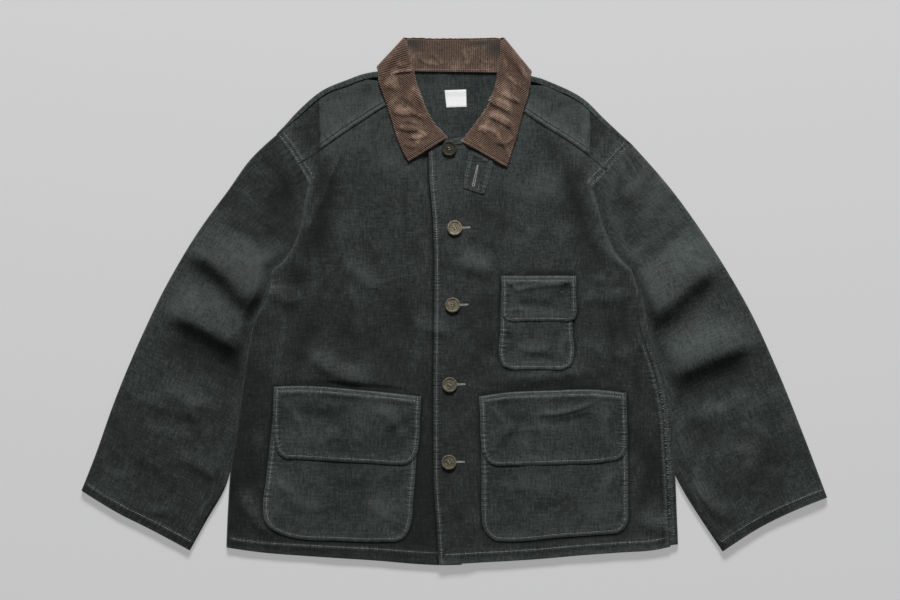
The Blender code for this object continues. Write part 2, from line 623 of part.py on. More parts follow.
def make_yoke(name):
    seam = np.array(YOKE_SEAM[name], float)
    low = seam[::-1] if name == "right" else seam[::-1]
    low = low + np.array([0, 3 * SEAM])
    top = Line(shoulder_seam(name))
    arm = arm_lines(name)[0]
    tip = FOLD + SHOULDER_IN - 3.5 + 2 * SEAM
    corner = arm.marks[28] - 3 * SEAM
    bottom = Line(low)
    neck = Line([low[-1], NECK_SIDE[name][1], top.points[-1]])
    v = np.array([0, 0.06, 0.2, 0.36, 0.52, 0.68, 0.84, 1.0])
    outer = []
    for f in v:
        left = arm.along(corner + (tip - corner) * f)
        row = Row(rows_between(bottom, top, [left], [neck.at(f)], [f])[0])
        line = []
        for d in np.concatenate([[0, 5.0, 12.0], np.linspace(12.0, row.length, 9)[1:]]):
            p = row.left(d)
            line.append((p[0], p[1], float(front_top(*p))))
        outer.append(line)
    outer = np.array(outer)
    inner = outer - np.array([0, 0, WALL])
    # the yoke's lower edge is felled over the front
    outer[:2, :, 2] += 0.5
    return wall_between("yoke_" + name, outer, inner, DENIM)


def make_front(name):
    right_side = name == "right"
    hem = Line(HEM_RIGHT if right_side else HEM_LEFT)
    yoke = [(x, y - 1.5 * SEAM) for x, y in YOKE_SEAM[name]]
    if right_side:
        top = joined(yoke[::-1], NECK_RIGHT)
        inner_edge = Line([(x + OVERLAP, y) for x, y in BUTTON_EDGE[:-1]] + [(-4, 219)])
    else:
        top = joined(NECK_LEFT, yoke)
        inner_edge = Line(BUTTON_EDGE)
    side, fold = Line(SIDE[name]), Line(FOLD_EDGE[name])
    arm = arm_lines(name)[0]
    from_arm, to_arm = arm.marks[42], arm.marks[28]
    low = [0.0006] + SIDE_ROWS
    plan = [("side", f) for f in low] + [("fold", f) for f in (0.04, 0.22, 0.42, 0.62, 0.8, 0.93)]
    plan += [("arm", f) for f in (0.15, 0.55, 1.0)]
    outer, inner = [], []
    for kind, f in plan:
        if kind == "side":
            edge_point, v = side.at(f), f * 0.66
        elif kind == "fold":
            edge_point, v = fold.at(f), 0.66 + 0.26 * f
        else:
            edge_point, v = arm.along(from_arm + (to_arm - from_arm) * f), 0.92 + 0.08 * f
        other = inner_edge.at(v)
        ends = (edge_point, other) if right_side else (other, edge_point)
        row = Row(rows_between(hem, top, [ends[0]], [ends[1]], [v], 2.0, 4.0)[0])
        read = row.left if right_side else row.right
        far = row.right if right_side else row.left
        height = front_top if right_side else closure_top
        near = read(FOLD)
        crest = float(height(*near))
        points = []
        start = BEND / 2 + SEAM
        if not right_side and kind == "side":
            slant = float(ease(edge_point[1], -75, -40) * (1 - ease(edge_point[1], 36, 48)))
            start = float(side_seam(edge_point[1])) + SEAM + 0.7 * slant
        stop = max(BEND, start + 3.0)
        for share in (0.0, 0.33, 0.66, 1.0):
            s = np.array(start + (stop - start) * share)
            if kind == "side":
                do, zo, di, zi = round_edge(s, crest, float(back_low(*near)))
            elif kind == "fold":
                rest = float(sleeve_top(name, *edge_point)) + 0.45
                do, zo, di, zi = round_edge(s, crest, rest, rest)
            else:
                do = di = share * 4.0
                zo = float(height(*read(do))) + 1.4 * (1 - float(ease(f, 0.1, 0.7)))
                zi = zo - WALL
            po, pi = read(do), read(di)
            points.append((po[0], po[1], float(zo), pi[0], pi[1], float(zi)))
        first = 8.0 if kind != "side" or right_side else stop - BEND + FOLD + 5.0
        if right_side:
            places = [first, 15, 25, 38, 54] + list(np.linspace(54, row.length, 10)[1:])
        else:
            places = [first, 22, 33, 46, 62] + list(np.linspace(62, row.length - 64, 7)[1:])
            places += [row.length - d for d in (50, 36, 20, 6, 0)]
        for d in places:
            p = read(d)
            z = float(height(*p))
            points.append((p[0], p[1], z, p[0], p[1], z - WALL))
        points = np.array(points)
        hem_rise = TURN if kind == "side" and f < (HEM + 1) / 400 else 0.0
        points[:, 2] += hem_rise * (points[:, 2] > crest - 2.0)
        outer.append(points[:, :3])
        inner.append(points[:, 3:])
    return wall_between("front_" + name, np.array(outer), np.array(inner), DENIM)


for side_name in SIGN:
    make_yoke(side_name)
    make_front(side_name)


# ---------------------------------------------------------------- what lies on the panels
def upper_face(*names):
    """Reads the height in mm of the highest of the named pieces at a place, or None beside them."""
    trees = []
    for name in names:
        mesh = bpy.data.objects[name].data
        trees.append(BVHTree.FromPolygons([v.co / MM for v in mesh.vertices], [p.vertices[:] for p in mesh.polygons]))

    def read(x, y, spread=0.0):
        best = None
        for dx, dy in ((0, 0), (spread, 0), (-spread, 0), (0, spread), (0, -spread))[:5 if spread else 1]:
            for tree in trees:
                hit = tree.ray_cast(Vector((x + dx, y + dy, 80.0)), Vector((0, 0, -1)))[0]
                if hit is not None and (best is None or hit.z > best):
                    best = hit.z
        return best

    return read


def patch(sides, across_count, along_count):
    bottom, top = Line(sides["bottom"]), Line(sides["top"])
    left, right = Line(sides["left"]), Line(sides["right"])
    v = np.linspace(0, 1, along_count + 1)
    rows = rows_between(bottom, top, left.at(v), right.at(v), v)
    u = np.linspace(0, 1, across_count + 1)
    return np.array([Row(row).left(u * Row(row).length) for row in rows])


def lay_on(name, plan, under, look, clear=LAYER, wall=WALL, extra=None):
    """A piece of cloth made from the points of what it lies on, moved out."""
    z = np.array([[under(*p) + clear for p in row] for row in plan])
    if extra is not None:
        z = z + extra
    return wall_between(name, stack(plan, z + wall), stack(plan, z), look)


def make_pocket(pocket, flap, panel, columns, pocket_rows, flap_rows):
    under = upper_face(panel)
    lay_on(pocket, patch(POCKETS[pocket], columns, pocket_rows), under, DENIM)
    plan = patch(FLAPS[flap], columns, flap_rows)
    shares = np.linspace(0, 1, flap_rows + 1)
    drop = np.array([1 - s for s in shares]) * (plan[-1, :, 1].mean() - plan[0, :, 1].mean())
    over = (WALL + LAYER) * ease(drop, 2, 14) + 0.9 * ease(drop, drop.max() - 25, drop.max())
    lay_on(flap, plan, under, DENIM, extra=over[:, None] * np.ones(plan.shape[1]))


make_pocket("chest_pocket", "chest_flap", "front_left", 7, 6, 4)
make_pocket("lower_pocket_right", "lower_flap_right", "front_right", 10, 8, 5)
make_pocket("lower_pocket_left", "lower_flap_left", "front_left", 10, 8, 5)

TAB = {"top": [(23, 213), (56, 196)], "bottom": [(12.5, 158), (42, 148.5)],
       "left": [(12.5, 158), (17, 184), (23, 213)], "right": [(42, 148.5), (49, 170), (56, 196)]}
LABEL = {"top": [(-13, 295), (17, 296)], "bottom": [(-10.5, 271), (17.5, 272)],
         "left": [(-10.5, 271), (-13, 295)], "right": [(17.5, 272), (17, 296)]}
lay_on("throat_tab", patch(TAB, 3, 4), upper_face("front_left"), DENIM)
lay_on("neck_label", patch(LABEL, 3, 3), upper_face("back"), WHITE, clear=0.35, wall=1.0)


# ---------------------------------------------------------------- buttons
def make_button(name, x, y, under):
    """Turned button: a raised rim round a sunk middle."""
    r, t = BUTTON_ACROSS / 2, BUTTON_THICK
    profile = [(0.0, 0.62 * t), (0.56 * r, 0.62 * t), (0.70 * r, 0.96 * t), (0.84 * r, t), (0.97 * r, 0.78 * t),
               (r, 0.5 * t), (0.86 * r, 0.08 * t), (0.6 * r, 0.0), (0.0, 0.0)]
    mesh = bpy.data.meshes.new(name)
    bm = bmesh.new()
    verts = [bm.verts.new((px * MM, 0, pz * MM)) for px, pz in profile]
    for a, b in zip(verts, verts[1:]):
        bm.edges.new((a, b))
    bm.to_mesh(mesh)
    bm.free()
    mesh.materials.append(HORN)
    made = bpy.data.objects.new(name, mesh)
    PARTS.objects.link(made)
    turn = made.modifiers.new("turned", "SCREW")
    turn.axis = "Z"
    turn.steps = turn.render_steps = 18
    turn.use_merge_vertices = True
    turn.merge_threshold = 0.00001
    turn.use_smooth_shade = True
    high = max(under(x + r * math.cos(a), y + r * math.sin(a)) or 0 for a in np.linspace(0, 2 * math.pi, 9))
    made.location = (x * MM, y * MM, (max(high, under(x, y)) + 0.35) * MM)


button_face = upper_face("front_left")
for number, (bx, by) in enumerate(BUTTONS):
    make_button("button_%d" % (number + 1), bx, by, button_face)

# ---------------------------------------------------------------- collar
# The stand and the fall meet at the roll line.  Both turn forward at the shoulders along their own slanted folds.
# One row for each section, from the middle of the back round to the front edge of a leaf.
# Columns: neck seam x, y; roll line x, y; height of the stand; height of the fall at the roll; outer edge x, y;
# height of the outer edge where it lies under the neck, or 0 where it lies on what is below it.
COLLAR = {
    "right": [(-34, 321.2, -34, 367, 3.35, 0.95, -34, 318.5, 0.95), (-58, 321.6, -56, 368, 3.35, 0.95, -60, 318.5, 0.95),
              (-74, 322.0, -65, 367.5, 3.35, 0.95, -96, 327.5, 0.95),
              (-81.5, 321.5, -70, 368, 4.55, 4.55, -108, 327.5, 4.9),
              (-81, 316, -66, 361, 5.9, 8.7, -106, 320.0, 8.8), (-85, 312, -63.5, 346, 5.8, 8.4, -106, 309, 0),
              (-86, 303, -57, 322, 5.8, 8.3, -98, 284, 0), (-78, 277, -48, 288, 4.7, 7.2, -88, 253, 0),
              (-66, 254, -36, 263, 3.6, 6.4, -80, 228, 0), (-55, 240.5, -25, 245, 3.7, 6.6, -73, 210, 0),
              (-39, 231, -14, 234, 4.2, 9.4, -67, 199, 0), (-26, 227, -9, 227.5, 4.6, 10.6, -63.5, 194, 0)],
    "left": [(34, 320.3, 34, 367, 3.35, 0.95, 34, 318.5, 0.95), (58, 320.0, 56, 368, 3.35, 0.95, 60, 318.5, 0.95),
             (74, 320.2, 65, 367.5, 3.35, 0.95, 95.5, 324, 0.95),
             (81.5, 320, 70, 368, 4.55, 4.55, 108.5, 321.0, 4.9),
             (81, 314, 66, 361, 5.9, 8.7, 107, 313.5, 8.8), (85, 309, 65, 344, 5.8, 8.4, 107, 302, 0),
             (86.5, 302, 61.5, 323, 5.8, 8.3, 103.5, 285, 0), (84, 288, 59, 305, 5.2, 7.7, 98, 267, 0),
             (76.5, 267, 52, 281, 4.5, 7.0, 93, 247.5, 0), (66.5, 252.5, 42, 265, 3.6, 6.1, 88, 228, 0),
             (49.5, 238, 29.5, 248, 3.6, 6.1, 81, 208, 0), (33, 228, 17, 231, 3.8, 6.6, 77, 194.5, 0),
             (20, 224, 9, 223, 4.2, 7.0, 74.5, 186, 0)]}
STAND_STEPS = (0.0, 0.33, 0.66, 1.0)
FALL_STEPS = (0.12, 0.32, 0.54, 0.77, 1.0)


def collar_section(row, part, under):
    """Points on the middle surface of the stand or of the fall, and the way across the cloth to its inner side."""
    nx, ny, rx, ry, high, fall, ox, oy, low = row
    neck, roll, edge = np.array([nx, ny]), np.array([rx, ry]), np.array([ox, oy])
    to_neck = (neck - roll) / np.linalg.norm(neck - roll)
    to_edge = (edge - roll) / np.linalg.norm(edge - roll)
    half = COLLAR_WALL / 2
    slanted = high == fall
    if slanted:
        within = np.array([-np.sign(rx) * abs(to_edge[1]), -abs(to_edge[0]), 0.0])
    else:
        within = np.array([0, 0, 1.0 if high > fall else -1.0])
    points, ways = [], []
    if part == "stand":
        end = roll + to_neck * (7.0 if slanted else 3.4)
        for f in STAND_STEPS:
            p = neck + (end - neck) * f
            points.append((*p, max(high, (under(*p, 0.5) or 0) + LAYER + half)))
            ways.append(-within)
        return points, ways
    middle = (high + fall) / 2
    out = np.array([*to_edge, 0.0])
    points.append((*(roll + to_neck * 0.5), middle + 0.7 * (high - middle)))
    ways.append(out * 0.75 - within * 0.66)
    points.append((*roll, middle))
    ways.append(out)
    start = roll + to_edge * 1.7
    points.append((*start, fall))
    ways.append(out * 0.5 + within * 0.87)
    for f in FALL_STEPS:
        p = start + (edge - start) * f
        if low:
            z = fall + (low - fall) * f
        else:
            floor = (under(*p, 8.0) or 0) + LAYER + half + 0.5
            z = max(floor, fall + (floor - fall) * min(1.0, f * 1.6))
        points.append((*p, z))
        ways.append(within)
    return points, ways


def make_collar():
    middle = (0, 320.8, 0, 367, 3.35, 0.95, 0, 318.5, 0.95)
    rows = [*COLLAR["right"][::-1], middle, *COLLAR["left"]]
    for part in ("stand", "fall"):
        below = ["back"] if part == "stand" else ["yoke_right", "yoke_left", "front_right", "front_left", "back",
                                                   "throat_tab", "button_1", "collar_stand"]
        under = upper_face(*below)
        sections = [collar_section(row, part, under) for row in rows]
        grid = np.array([section[0] for section in sections])
        ways = np.array([section[1] for section in sections]) * COLLAR_WALL / 2
        wall_between("collar_" + part, grid + ways, grid - ways, CORDUROY)


make_collar()
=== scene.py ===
"""Looks of a hunting jacket of washed denim with a corduroy collar, laid flat on its back.

+X is the wearer's left, +Y runs toward the collar, +Z is up, and z = 0 is the surface that it lies on.
Tables are in millimetres, in the same frame as the solids.
"""
import math

import bpy
import numpy as np
from mathutils import Matrix, noise, Vector
from mathutils.bvhtree import BVHTree


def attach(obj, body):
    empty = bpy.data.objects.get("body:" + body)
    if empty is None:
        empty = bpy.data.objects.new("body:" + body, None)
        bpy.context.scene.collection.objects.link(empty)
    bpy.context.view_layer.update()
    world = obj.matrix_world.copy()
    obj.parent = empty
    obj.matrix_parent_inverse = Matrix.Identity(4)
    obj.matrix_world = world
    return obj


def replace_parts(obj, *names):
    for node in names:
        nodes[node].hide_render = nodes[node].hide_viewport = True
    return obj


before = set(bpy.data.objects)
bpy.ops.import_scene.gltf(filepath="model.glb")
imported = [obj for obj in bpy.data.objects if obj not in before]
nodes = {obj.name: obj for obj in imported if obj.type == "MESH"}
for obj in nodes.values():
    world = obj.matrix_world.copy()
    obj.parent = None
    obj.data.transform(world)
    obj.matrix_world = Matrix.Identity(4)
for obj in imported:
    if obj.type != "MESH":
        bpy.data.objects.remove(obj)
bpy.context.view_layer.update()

MM = 0.001
WALL = 1.3              # denim, with its felled seams averaged in
COLLAR_WALL = 1.8       # corduroy on its undercollar
PANEL_WALL = 1.0        # wall of the panels in the scene
SEAM = 0.15             # half of the gap where two pieces meet
LAYER = 0.5             # clearance between cloth that lies on cloth
FOLD = 3.5              # plan radius of a folded edge
HEM = 13.0              # depth of the turned-up bottom hem
TURN = 0.6              # how much a turned-up hem stands out
SLEEVE_HIGH = 4.6       # height of an empty sleeve between its folds
ARM_HIGH = 5.6          # height of the sleeve where it is set in
WEDGE = 5.2             # how far the body rises where a sleeve lies under its side
REST = WALL + LAYER + WALL
LOFT = 1.6              # mean looseness of the fronts over the back
OVERLAP = 32.0          # how far the left front laps over the right one
SIDE_IN = 6.5           # how far the left side seam lies in from the edge
SHOULDER_IN = 1.4       # how far the back comes forward over the shoulder
FINE_POINTS = 15000     # a sheet with more points than this has a coarser inner side
STEEP = 0.34            # how much steeper a fold is on the side toward the hem
BEND = math.pi * FOLD   # length of the path round a folded edge
BACK_LENGTH = 660.0     # from the hem to the shoulder
SIDE_LENGTH = 400.0     # of the side below the sleeve, for the depth of the hem
TIP_IN = 3.5            # how much less the back comes forward at the shoulder's tip
UNDERARM = 0.70         # share of a sleeve's length up to the underarm
SIDE_SHARE = 0.66       # share of a front's height up to where its side is folded over the sleeve
PATH_STEP = 3.0         # between the points of a line beside another one
LINE_STEPS = 14         # points of a smooth line for each of its stretches
SIGN = {"right": -1.0, "left": 1.0}

# Outlines of the pieces as they lie.  Each row is a point: x, y.
HEM_RIGHT = [(-318, -346), (-272, -352), (-216, -356), (-160, -359), (-104, -362), (-48, -366), (-20, -367),
    (12, -366)]
HEM_LEFT = [(-21, -370), (36, -367), (120, -362), (176, -357), (232, -353), (283, -349), (313, -342)]
HEM_BACK = [(-318, -344), (-216, -353), (-104, -358), (12, -362), (120, -358), (232, -350), (313, -341)]
SIDE = {
    "right": [(-318, -346), (-315, -279), (-311, -230), (-302, -174), (-294, -111), (-286, -62), (-276, -21),
        (-263, 1), (-255, 42)],
    "left": [(313, -342), (311, -293), (307, -219), (300, -139), (291, -100), (274, -48), (260, 5),
        (249, 42)]}
FOLD_EDGE = {
    "right": [(-255, 42), (-238, 57), (-223, 82), (-214, 110), (-209, 141), (-203, 166)],
    "left": [(249, 42), (228, 63), (213, 92), (200, 134), (193, 158)]}
ARMHOLE = {
    "right": [(-248, 233), (-230, 210), (-218, 191), (-203, 166), (-196, 132), (-199, 98), (-218, 64),
        (-255, 42)],
    "left": [(248, 219), (235, 205), (214, 182), (193, 158), (186, 128), (188, 96), (208, 63), (249, 42)]}
SHOULDER = {
    "right": [(-248, 233), (-241, 240), (-216, 267), (-182, 295), (-151, 308), (-122, 318), (-108, 320)],
    "left": [(248, 219), (239, 227), (211, 253), (181, 282), (133, 306), (120, 311), (108, 313.5)]}
NECK_BACK = [(-108, 320), (-92, 323), (-76, 325), (-59, 326.5), (0, 325.5), (59, 326.5), (76, 324),
    (92, 320), (108, 313.5)]
NECK_RIGHT = [(-81, 280), (-64, 239), (-42, 225), (-24, 221), (-4, 219)]
NECK_LEFT = [(-36, 217), (-6, 218), (17, 219), (39, 223), (64, 240), (84, 273)]
YOKE_SEAM = {
    "right": [(-81, 280), (-94, 273), (-132, 249), (-160, 230), (-188, 210), (-218, 191)],
    "left": [(84, 273), (97, 264), (122, 247), (148, 231), (172, 215), (192, 200), (214, 182)]}
NECK_SIDE = {"right": [(-88, 316), (-88, 298), (-81, 280)], "left": [(88, 312), (90, 295), (84, 273)]}
BUTTON_EDGE = [(-21, -370), (-24, -321), (-28, -265), (-29, -195), (-29, -111), (-28, 1), (-28, 65),
    (-30, 120), (-34, 165), (-36, 217)]
SLEEVE_OUT = {
    "right": [(-522, -266), (-505, -223), (-475, -139), (-440, -55), (-399, 29), (-347, 113), (-316, 155),
        (-286, 197), (-248, 233)],
    "left": [(522, -276), (486, -181), (452, -97), (413, -13), (363, 71), (304, 155), (248, 219)]}
CUFF_LINE = {
    "right": [(-522, -266), (-468, -299), (-426, -320), (-370, -350)],
    "left": [(522, -276), (477, -294), (428, -318), (377, -351)]}
SLEEVE_IN = {
    "right": [(-370, -350), (-346, -307), (-321, -263), (-309, -226), (-283, -167), (-269, -111),
        (-265, -62), (-264.5, -27), (-263.5, -5), (-260, 8), (-256.5, 22), (-252.0, 44)],
    "left": [(377, -351), (346, -305), (324, -270), (308, -240), (283, -181), (267, -111), (264, -62),
        (262, -27), (262, -5), (260, 8), (256.4, 22), (250, 42)]}

# The largest folds, as soft ridges (height > 0) and troughs (height < 0) along a three-point line.
# Columns: x0, y0, x1, y1, x2, y2, half width, height.
SLEEVE_FOLDS = {
    "right": [(-382, 84, -322, 46, -266, -26, 32, 15.0), (-404, -8, -350, -34, -284, -74, 27, 12.8),
        (-404, -70, -344, -96, -280, -122, 16, -3.5), (-236, 160, -250, 105, -262, 62, 15, -4.0),
        (-470, -268, -425, -296, -392, -292, 9, 2.0), (-390, -214, -350, -236, -326, -250, 12, 2.6),
        (-470, -120, -400, -150, -330, -160, 18, 2.0)],
    "left": [(376, 66, 314, 14, 262, -40, 31, 14.5), (428, -50, 358, -78, 290, -106, 27, 12.8),
        (420, -104, 364, -126, 304, -154, 16, -3.5), (398, -196, 408, -222, 414, -262, 11, 2.4),
        (338, -250, 364, -292, 400, -306, 11, 2.6), (234, 150, 246, 100, 260, 58, 15, -3.4),
        (470, -130, 400, -160, 330, -170, 18, 2.0)]}
BODY_FOLDS = [(-167, 200, -187, 120, -192, 40, 15, -2.4), (-194, 0, -206, -55, -225, -108, 14, -1.6),
    (-214, -62, -170, -98, -106, -116, 16, 5.0), (-206, -106, -172, -136, -120, -144, 10, -1.2),
    (-120, 76, -110, 36, -102, -6, 12, -1.5), (-156, 70, -128, 30, -90, 18, 15, 2.8),
    (-288, -140, -284, -210, -258, -318, 12, -1.3), (-110, 190, -70, 176, -50, 180, 20, 1.6),
    (97, 258, 146, 200, 186, 90, 14, -2.4), (190, 40, 214, -20, 222, -100, 13, -1.4),
    (52, -108, 130, -104, 206, -98, 12, 3.2), (294, -205, 279, -265, 240, -326, 12, -1.5),
    (250, -20, 262, -90, 268, -170, 10, 1.2), (46, 20, 50, -40, 44, -100, 12, -1.2),
    (2, 62, 30, 46, 62, 44, 13, 3.4), (190, 40, 216, 28, 244, 34, 9, 3.4),
    (178, 10, 206, -2, 230, 0, 9, 3.0), (-268, 22, -240, 4, -206, 2, 14, 2.6),
    (-60, -24, -24, -40, 4, -34, 15, 2.8), (-306, -262, -282, -298, -246, -334, 15, 3.6),
    (254, -296, 280, -316, 308, -322, 14, 3.8), (-256, -116, -150, -118.5, -42, -130.5, 3.4, -1.6),
    (31, -130, 132, -122.5, 245, -125.5, 3.4, -1.6), (62, 38.5, 118, 38.5, 175, 38.5, 3.0, -1.4),
    (60, 160, 110, 150, 160, 160, 22, 1.8), (180, -60, 220, -76, 256, -70, 14, 1.8)]

# Patch pockets and flaps.  Each side is a short line: x, y.
POCKETS = {
    "chest_pocket": {
        "top": [(66, 14), (165, 14)],
        "right": [(162.8, -91.8), (166.6, -82.6), (166, -40), (165, 14)],
        "left": [(68.2, -91.8), (64.4, -82.6), (65, -40), (66, 14)],
        "bottom": [(68.2, -91.8), (77.4, -95.6), (100, -96), (130, -96), (153.6, -95.6), (162.8, -91.8)]},
    "lower_pocket_right": {
        "top": [(-252, -150), (-150, -150), (-50, -158)],
        "right": [(-68, -330), (-62.5, -319), (-57, -275), (-50, -158)],
        "left": [(-258, -318.5), (-264.8, -308), (-267.4, -290), (-263, -249), (-252, -150)],
        "bottom": [(-258, -318.5), (-248, -325), (-232, -330.5), (-161, -336.4), (-95, -337.8), (-76, -336),
            (-68, -330)]},
    "lower_pocket_left": {
        "top": [(37, -156), (140, -154), (242, -156)],
        "right": [(238, -320.5), (243, -310), (243.8, -285), (243, -220), (242, -156)],
        "left": [(47, -328.5), (41, -318), (39, -300), (38.5, -250), (37, -156)],
        "bottom": [(47, -328.5), (57, -335.6), (72, -337), (152, -331.2), (214, -327), (229, -325.6),
            (238, -320.5)]}}
FLAPS = {
    "chest_flap": {
        "top": [(66, 35), (118, 35), (171, 35)],
        "right": [(168.9, -25.8), (171.5, -19.4), (171.3, 0), (171, 35)],
        "left": [(69.8, -25.8), (67.2, -19.4), (67, 0), (66, 35)],
        "bottom": [(69.8, -25.8), (76.2, -28.4), (100, -28.6), (140, -28.6), (162.5, -28.4),
            (168.9, -25.8)]},
    "lower_flap_right": {
        "top": [(-252, -120), (-206, -119.5), (-132, -125), (-46, -134)],
        "right": [(-58, -223.5), (-52, -214), (-49.4, -200), (-47.5, -165), (-46, -134)],
        "left": [(-246, -214.5), (-250.5, -204), (-253.2, -184), (-253, -150), (-252, -120)],
        "bottom": [(-246, -214.5), (-238, -220.5), (-222, -221.5), (-165, -225), (-110, -228), (-82, -229.5),
            (-66, -228.5), (-58, -223.5)]},
    "lower_flap_left": {
        "top": [(35, -134), (70, -129), (132, -126), (203, -125), (241, -129)],
        "right": [(237, -218), (241.8, -208), (242.8, -192), (242, -160), (241, -129)],
        "left": [(46.5, -226), (40, -214), (37.4, -195), (36.6, -165), (35, -134)],
        "bottom": [(46.5, -226), (58, -230.6), (76, -230.8), (152, -228.8), (214, -225.4), (229, -222.5),
            (237, -218)]}}
BUTTONS = [(-7, 213), (1, 102), (-2, -6), (-6, -117.5), (-7, -226)]
BUTTON_ACROSS = 21.0
BUTTON_THICK = 2.6


class Path:
    """A line straight from point to point, read by distance along it or by fraction of its length."""

    def __init__(self, points):
        self.points = np.asarray(points, float)
        self.measure()

    def measure(self, axes=None):
        """Works out how far along the line each point is, over the first axes or over all."""
        steps = np.linalg.norm(np.diff(self.points[:, :axes], axis=0), axis=1)
        self.marks = np.concatenate([[0], np.cumsum(steps)])
        self.length = self.marks[-1]

    def along(self, distance):
        d = np.asarray(distance, float)
        return np.stack([np.interp(d, self.marks, column) for column in self.points.T], -1)

    def before_end(self, distance):
        return self.along(self.length - np.asarray(distance, float))

    def at(self, fraction):
        return self.along(np.asarray(fraction, float) * self.length)


class Line(Path):
    """A smooth line through points."""

    def __init__(self, points, steps=LINE_STEPS):
        p = np.array(points, float)
        if len(p) == 2:
            p = np.array([p[0], (p[0] + p[1]) / 2, p[1]])
        gaps = np.linalg.norm(np.diff(p, axis=0), axis=1)
        slopes = np.diff(p, axis=0) / gaps[:, None]
        tangents = np.empty_like(p)
        tangents[1:-1] = ((slopes[:-1] * gaps[1:, None] + slopes[1:] * gaps[:-1, None])
                          / (gaps[:-1] + gaps[1:])[:, None])
        tangents[0] = 1.5 * slopes[0] - 0.5 * tangents[1]
        tangents[-1] = 1.5 * slopes[-1] - 0.5 * tangents[-2]
        t = np.linspace(0, 1, steps, endpoint=False)[:, None]
        parts = []
        for k, gap in enumerate(gaps):
            parts.append((2 * t**3 - 3 * t**2 + 1) * p[k] + (t**3 - 2 * t**2 + t) * tangents[k] * gap
                         + (3 * t**2 - 2 * t**3) * p[k + 1] + (t**3 - t**2) * tangents[k + 1] * gap)
        super().__init__(np.vstack(parts + [p[-1:]]))


def joined(*tables):
    """One path from several smooth lines, with their corners kept."""
    lines = [Line(table).points for table in tables]
    return Path(np.vstack([lines[0]] + [points[1:] for points in lines[1:]]))


def beside(line, away, start=0.0, end=1.0):
    """Part of a line moved sideways, to its left where away is positive."""
    run = np.gradient(line.points, axis=0)
    run /= np.maximum(np.linalg.norm(run, axis=1), 1e-6)[:, None]
    moved = Path(line.points + away * np.stack([-run[:, 1], run[:, 0]], 1))
    count = max(3, int(moved.length * (end - start) / PATH_STEP))
    return Path(moved.at(np.linspace(start, end, count)))


def ease(value, start, end):
    """0 before start, 1 past end, smooth between."""
    t = np.clip((np.asarray(value, float) - start) / (end - start), 0, 1)
    return t * t * (3 - 2 * t)


def offset_from(line, x, y):
    """Distance of points from a polyline, and the distance along it of the nearest place."""
    a = line.points[:-1]
    ab = line.points[1:] - a
    size = np.maximum((ab**2).sum(1), 1e-9)
    p = np.stack([np.ravel(x), np.ravel(y)], -1)[:, None, :]
    t = np.clip(((p - a) * ab).sum(2) / size, 0, 1)
    away = np.linalg.norm(p - (a + t[..., None] * ab), axis=2)
    best = away.argmin(1)
    rows = np.arange(len(best))
    place = line.marks[best] + t[rows, best] * np.sqrt(size[best])
    side = ab[best, 0] * (p[:, 0, 1] - a[best, 1]) - ab[best, 1] * (p[:, 0, 0] - a[best, 0])
    shape = np.shape(x)
    return (away[rows, best] * np.sign(side)).reshape(shape), place.reshape(shape)


FOLD_LINES = {}


def close_to(line, x, y, reach):
    """Which of the places lie in the box round a line."""
    low, high = line.points.min(0) - reach, line.points.max(0) + reach
    return (x > low[0]) & (x < high[0]) & (y > low[1]) & (y < high[1])


def folds(table, x, y):
    """Sum of the soft ridges and troughs of a table.  A ridge falls steeper toward the hem than it rises."""
    x, y = np.asarray(x, float), np.asarray(y, float)
    total = np.zeros(x.shape)
    for row in table:
        if row not in FOLD_LINES:
            FOLD_LINES[row] = Line([row[0:2], row[2:4], row[4:6]], 6)
        line, half, high = FOLD_LINES[row], row[6], row[7]
        here = close_to(line, x, y, 3.2 * half)
        if not here.any():
            continue
        away, place = offset_from(line, x[here], y[here])
        if high > 0:
            upward = np.sign(row[4] - row[0])
            half = half * (1 + STEEP * np.tanh(upward * away / (0.35 * half)))
        ends = ease(place, 0, 0.3 * line.length) * (1 - ease(place, 0.7 * line.length, line.length))
        total[here] += high * np.exp(-(away / half)**2) * (0.15 + 0.85 * ends)
    return total


SIDE_LINE = {name: Line(SIDE[name]) for name in SIGN}
ARM_LINE = {name: Line(ARMHOLE[name]) for name in SIGN}
IN_LINE = {name: Line(SLEEVE_IN[name]) for name in SIGN}
SHOULDER_LINE = {name: Line(SHOULDER[name]) for name in SIGN}
BUTTON_LINE = Line(BUTTON_EDGE)
# The line that the body's own edge makes over each sleeve: the side, then the fold over the armhole.
COVER = {name: joined(SIDE[name], FOLD_EDGE[name]) for name in SIGN}
CREASE = {"right": Line([(-203, 166), (-198, 176), (-188, 210), (-186, 250), (-184, 286)]),
          "left": Line([(193, 158), (187, 180), (185, 201), (188, 240), (190, 272)])}
COVER_TOP = 166.0                                   # where the cover ends and the crease goes on up, along y
LAST_UNDER = {"right": -226.0, "left": -246.0}      # where each sleeve comes out from under the side, along y


def x_at(line, y):
    """Where a line that runs along y is, across."""
    upward = line.points[np.argsort(line.points[:, 1])]
    return np.interp(y, upward[:, 1], upward[:, 0])


def inward(name, x, y):
    """Distance from the covering edge toward the body's middle, negative over the open sleeve."""
    return offset_from(COVER[name], x, y)[0] * SIGN[name]


def wedge(x, y):
    """Rise of the body's under layer where a sleeve lies below it."""
    total = np.zeros(np.shape(x))
    for name, sign in SIGN.items():
        past = (x_at(IN_LINE[name], y) - x) * sign
        low = LAST_UNDER[name]
        tall = (1 - ease(y, 8, 40)) * ease(y, low - 62, low - 4)
        total = np.maximum(total, WEDGE * tall * (1 - ease(past, 10, 56)))
    return total


def neck_rise(x, y):
    """Rise of the back's neck edge, where the collar is sewn on."""
    return 2.5 * ease(y, 282, 308) * (1 - ease(np.abs(x), 108, 150))


def back_low(x, y):
    """Height of the back's outer face."""
    return wedge(x, y) + neck_rise(x, y)


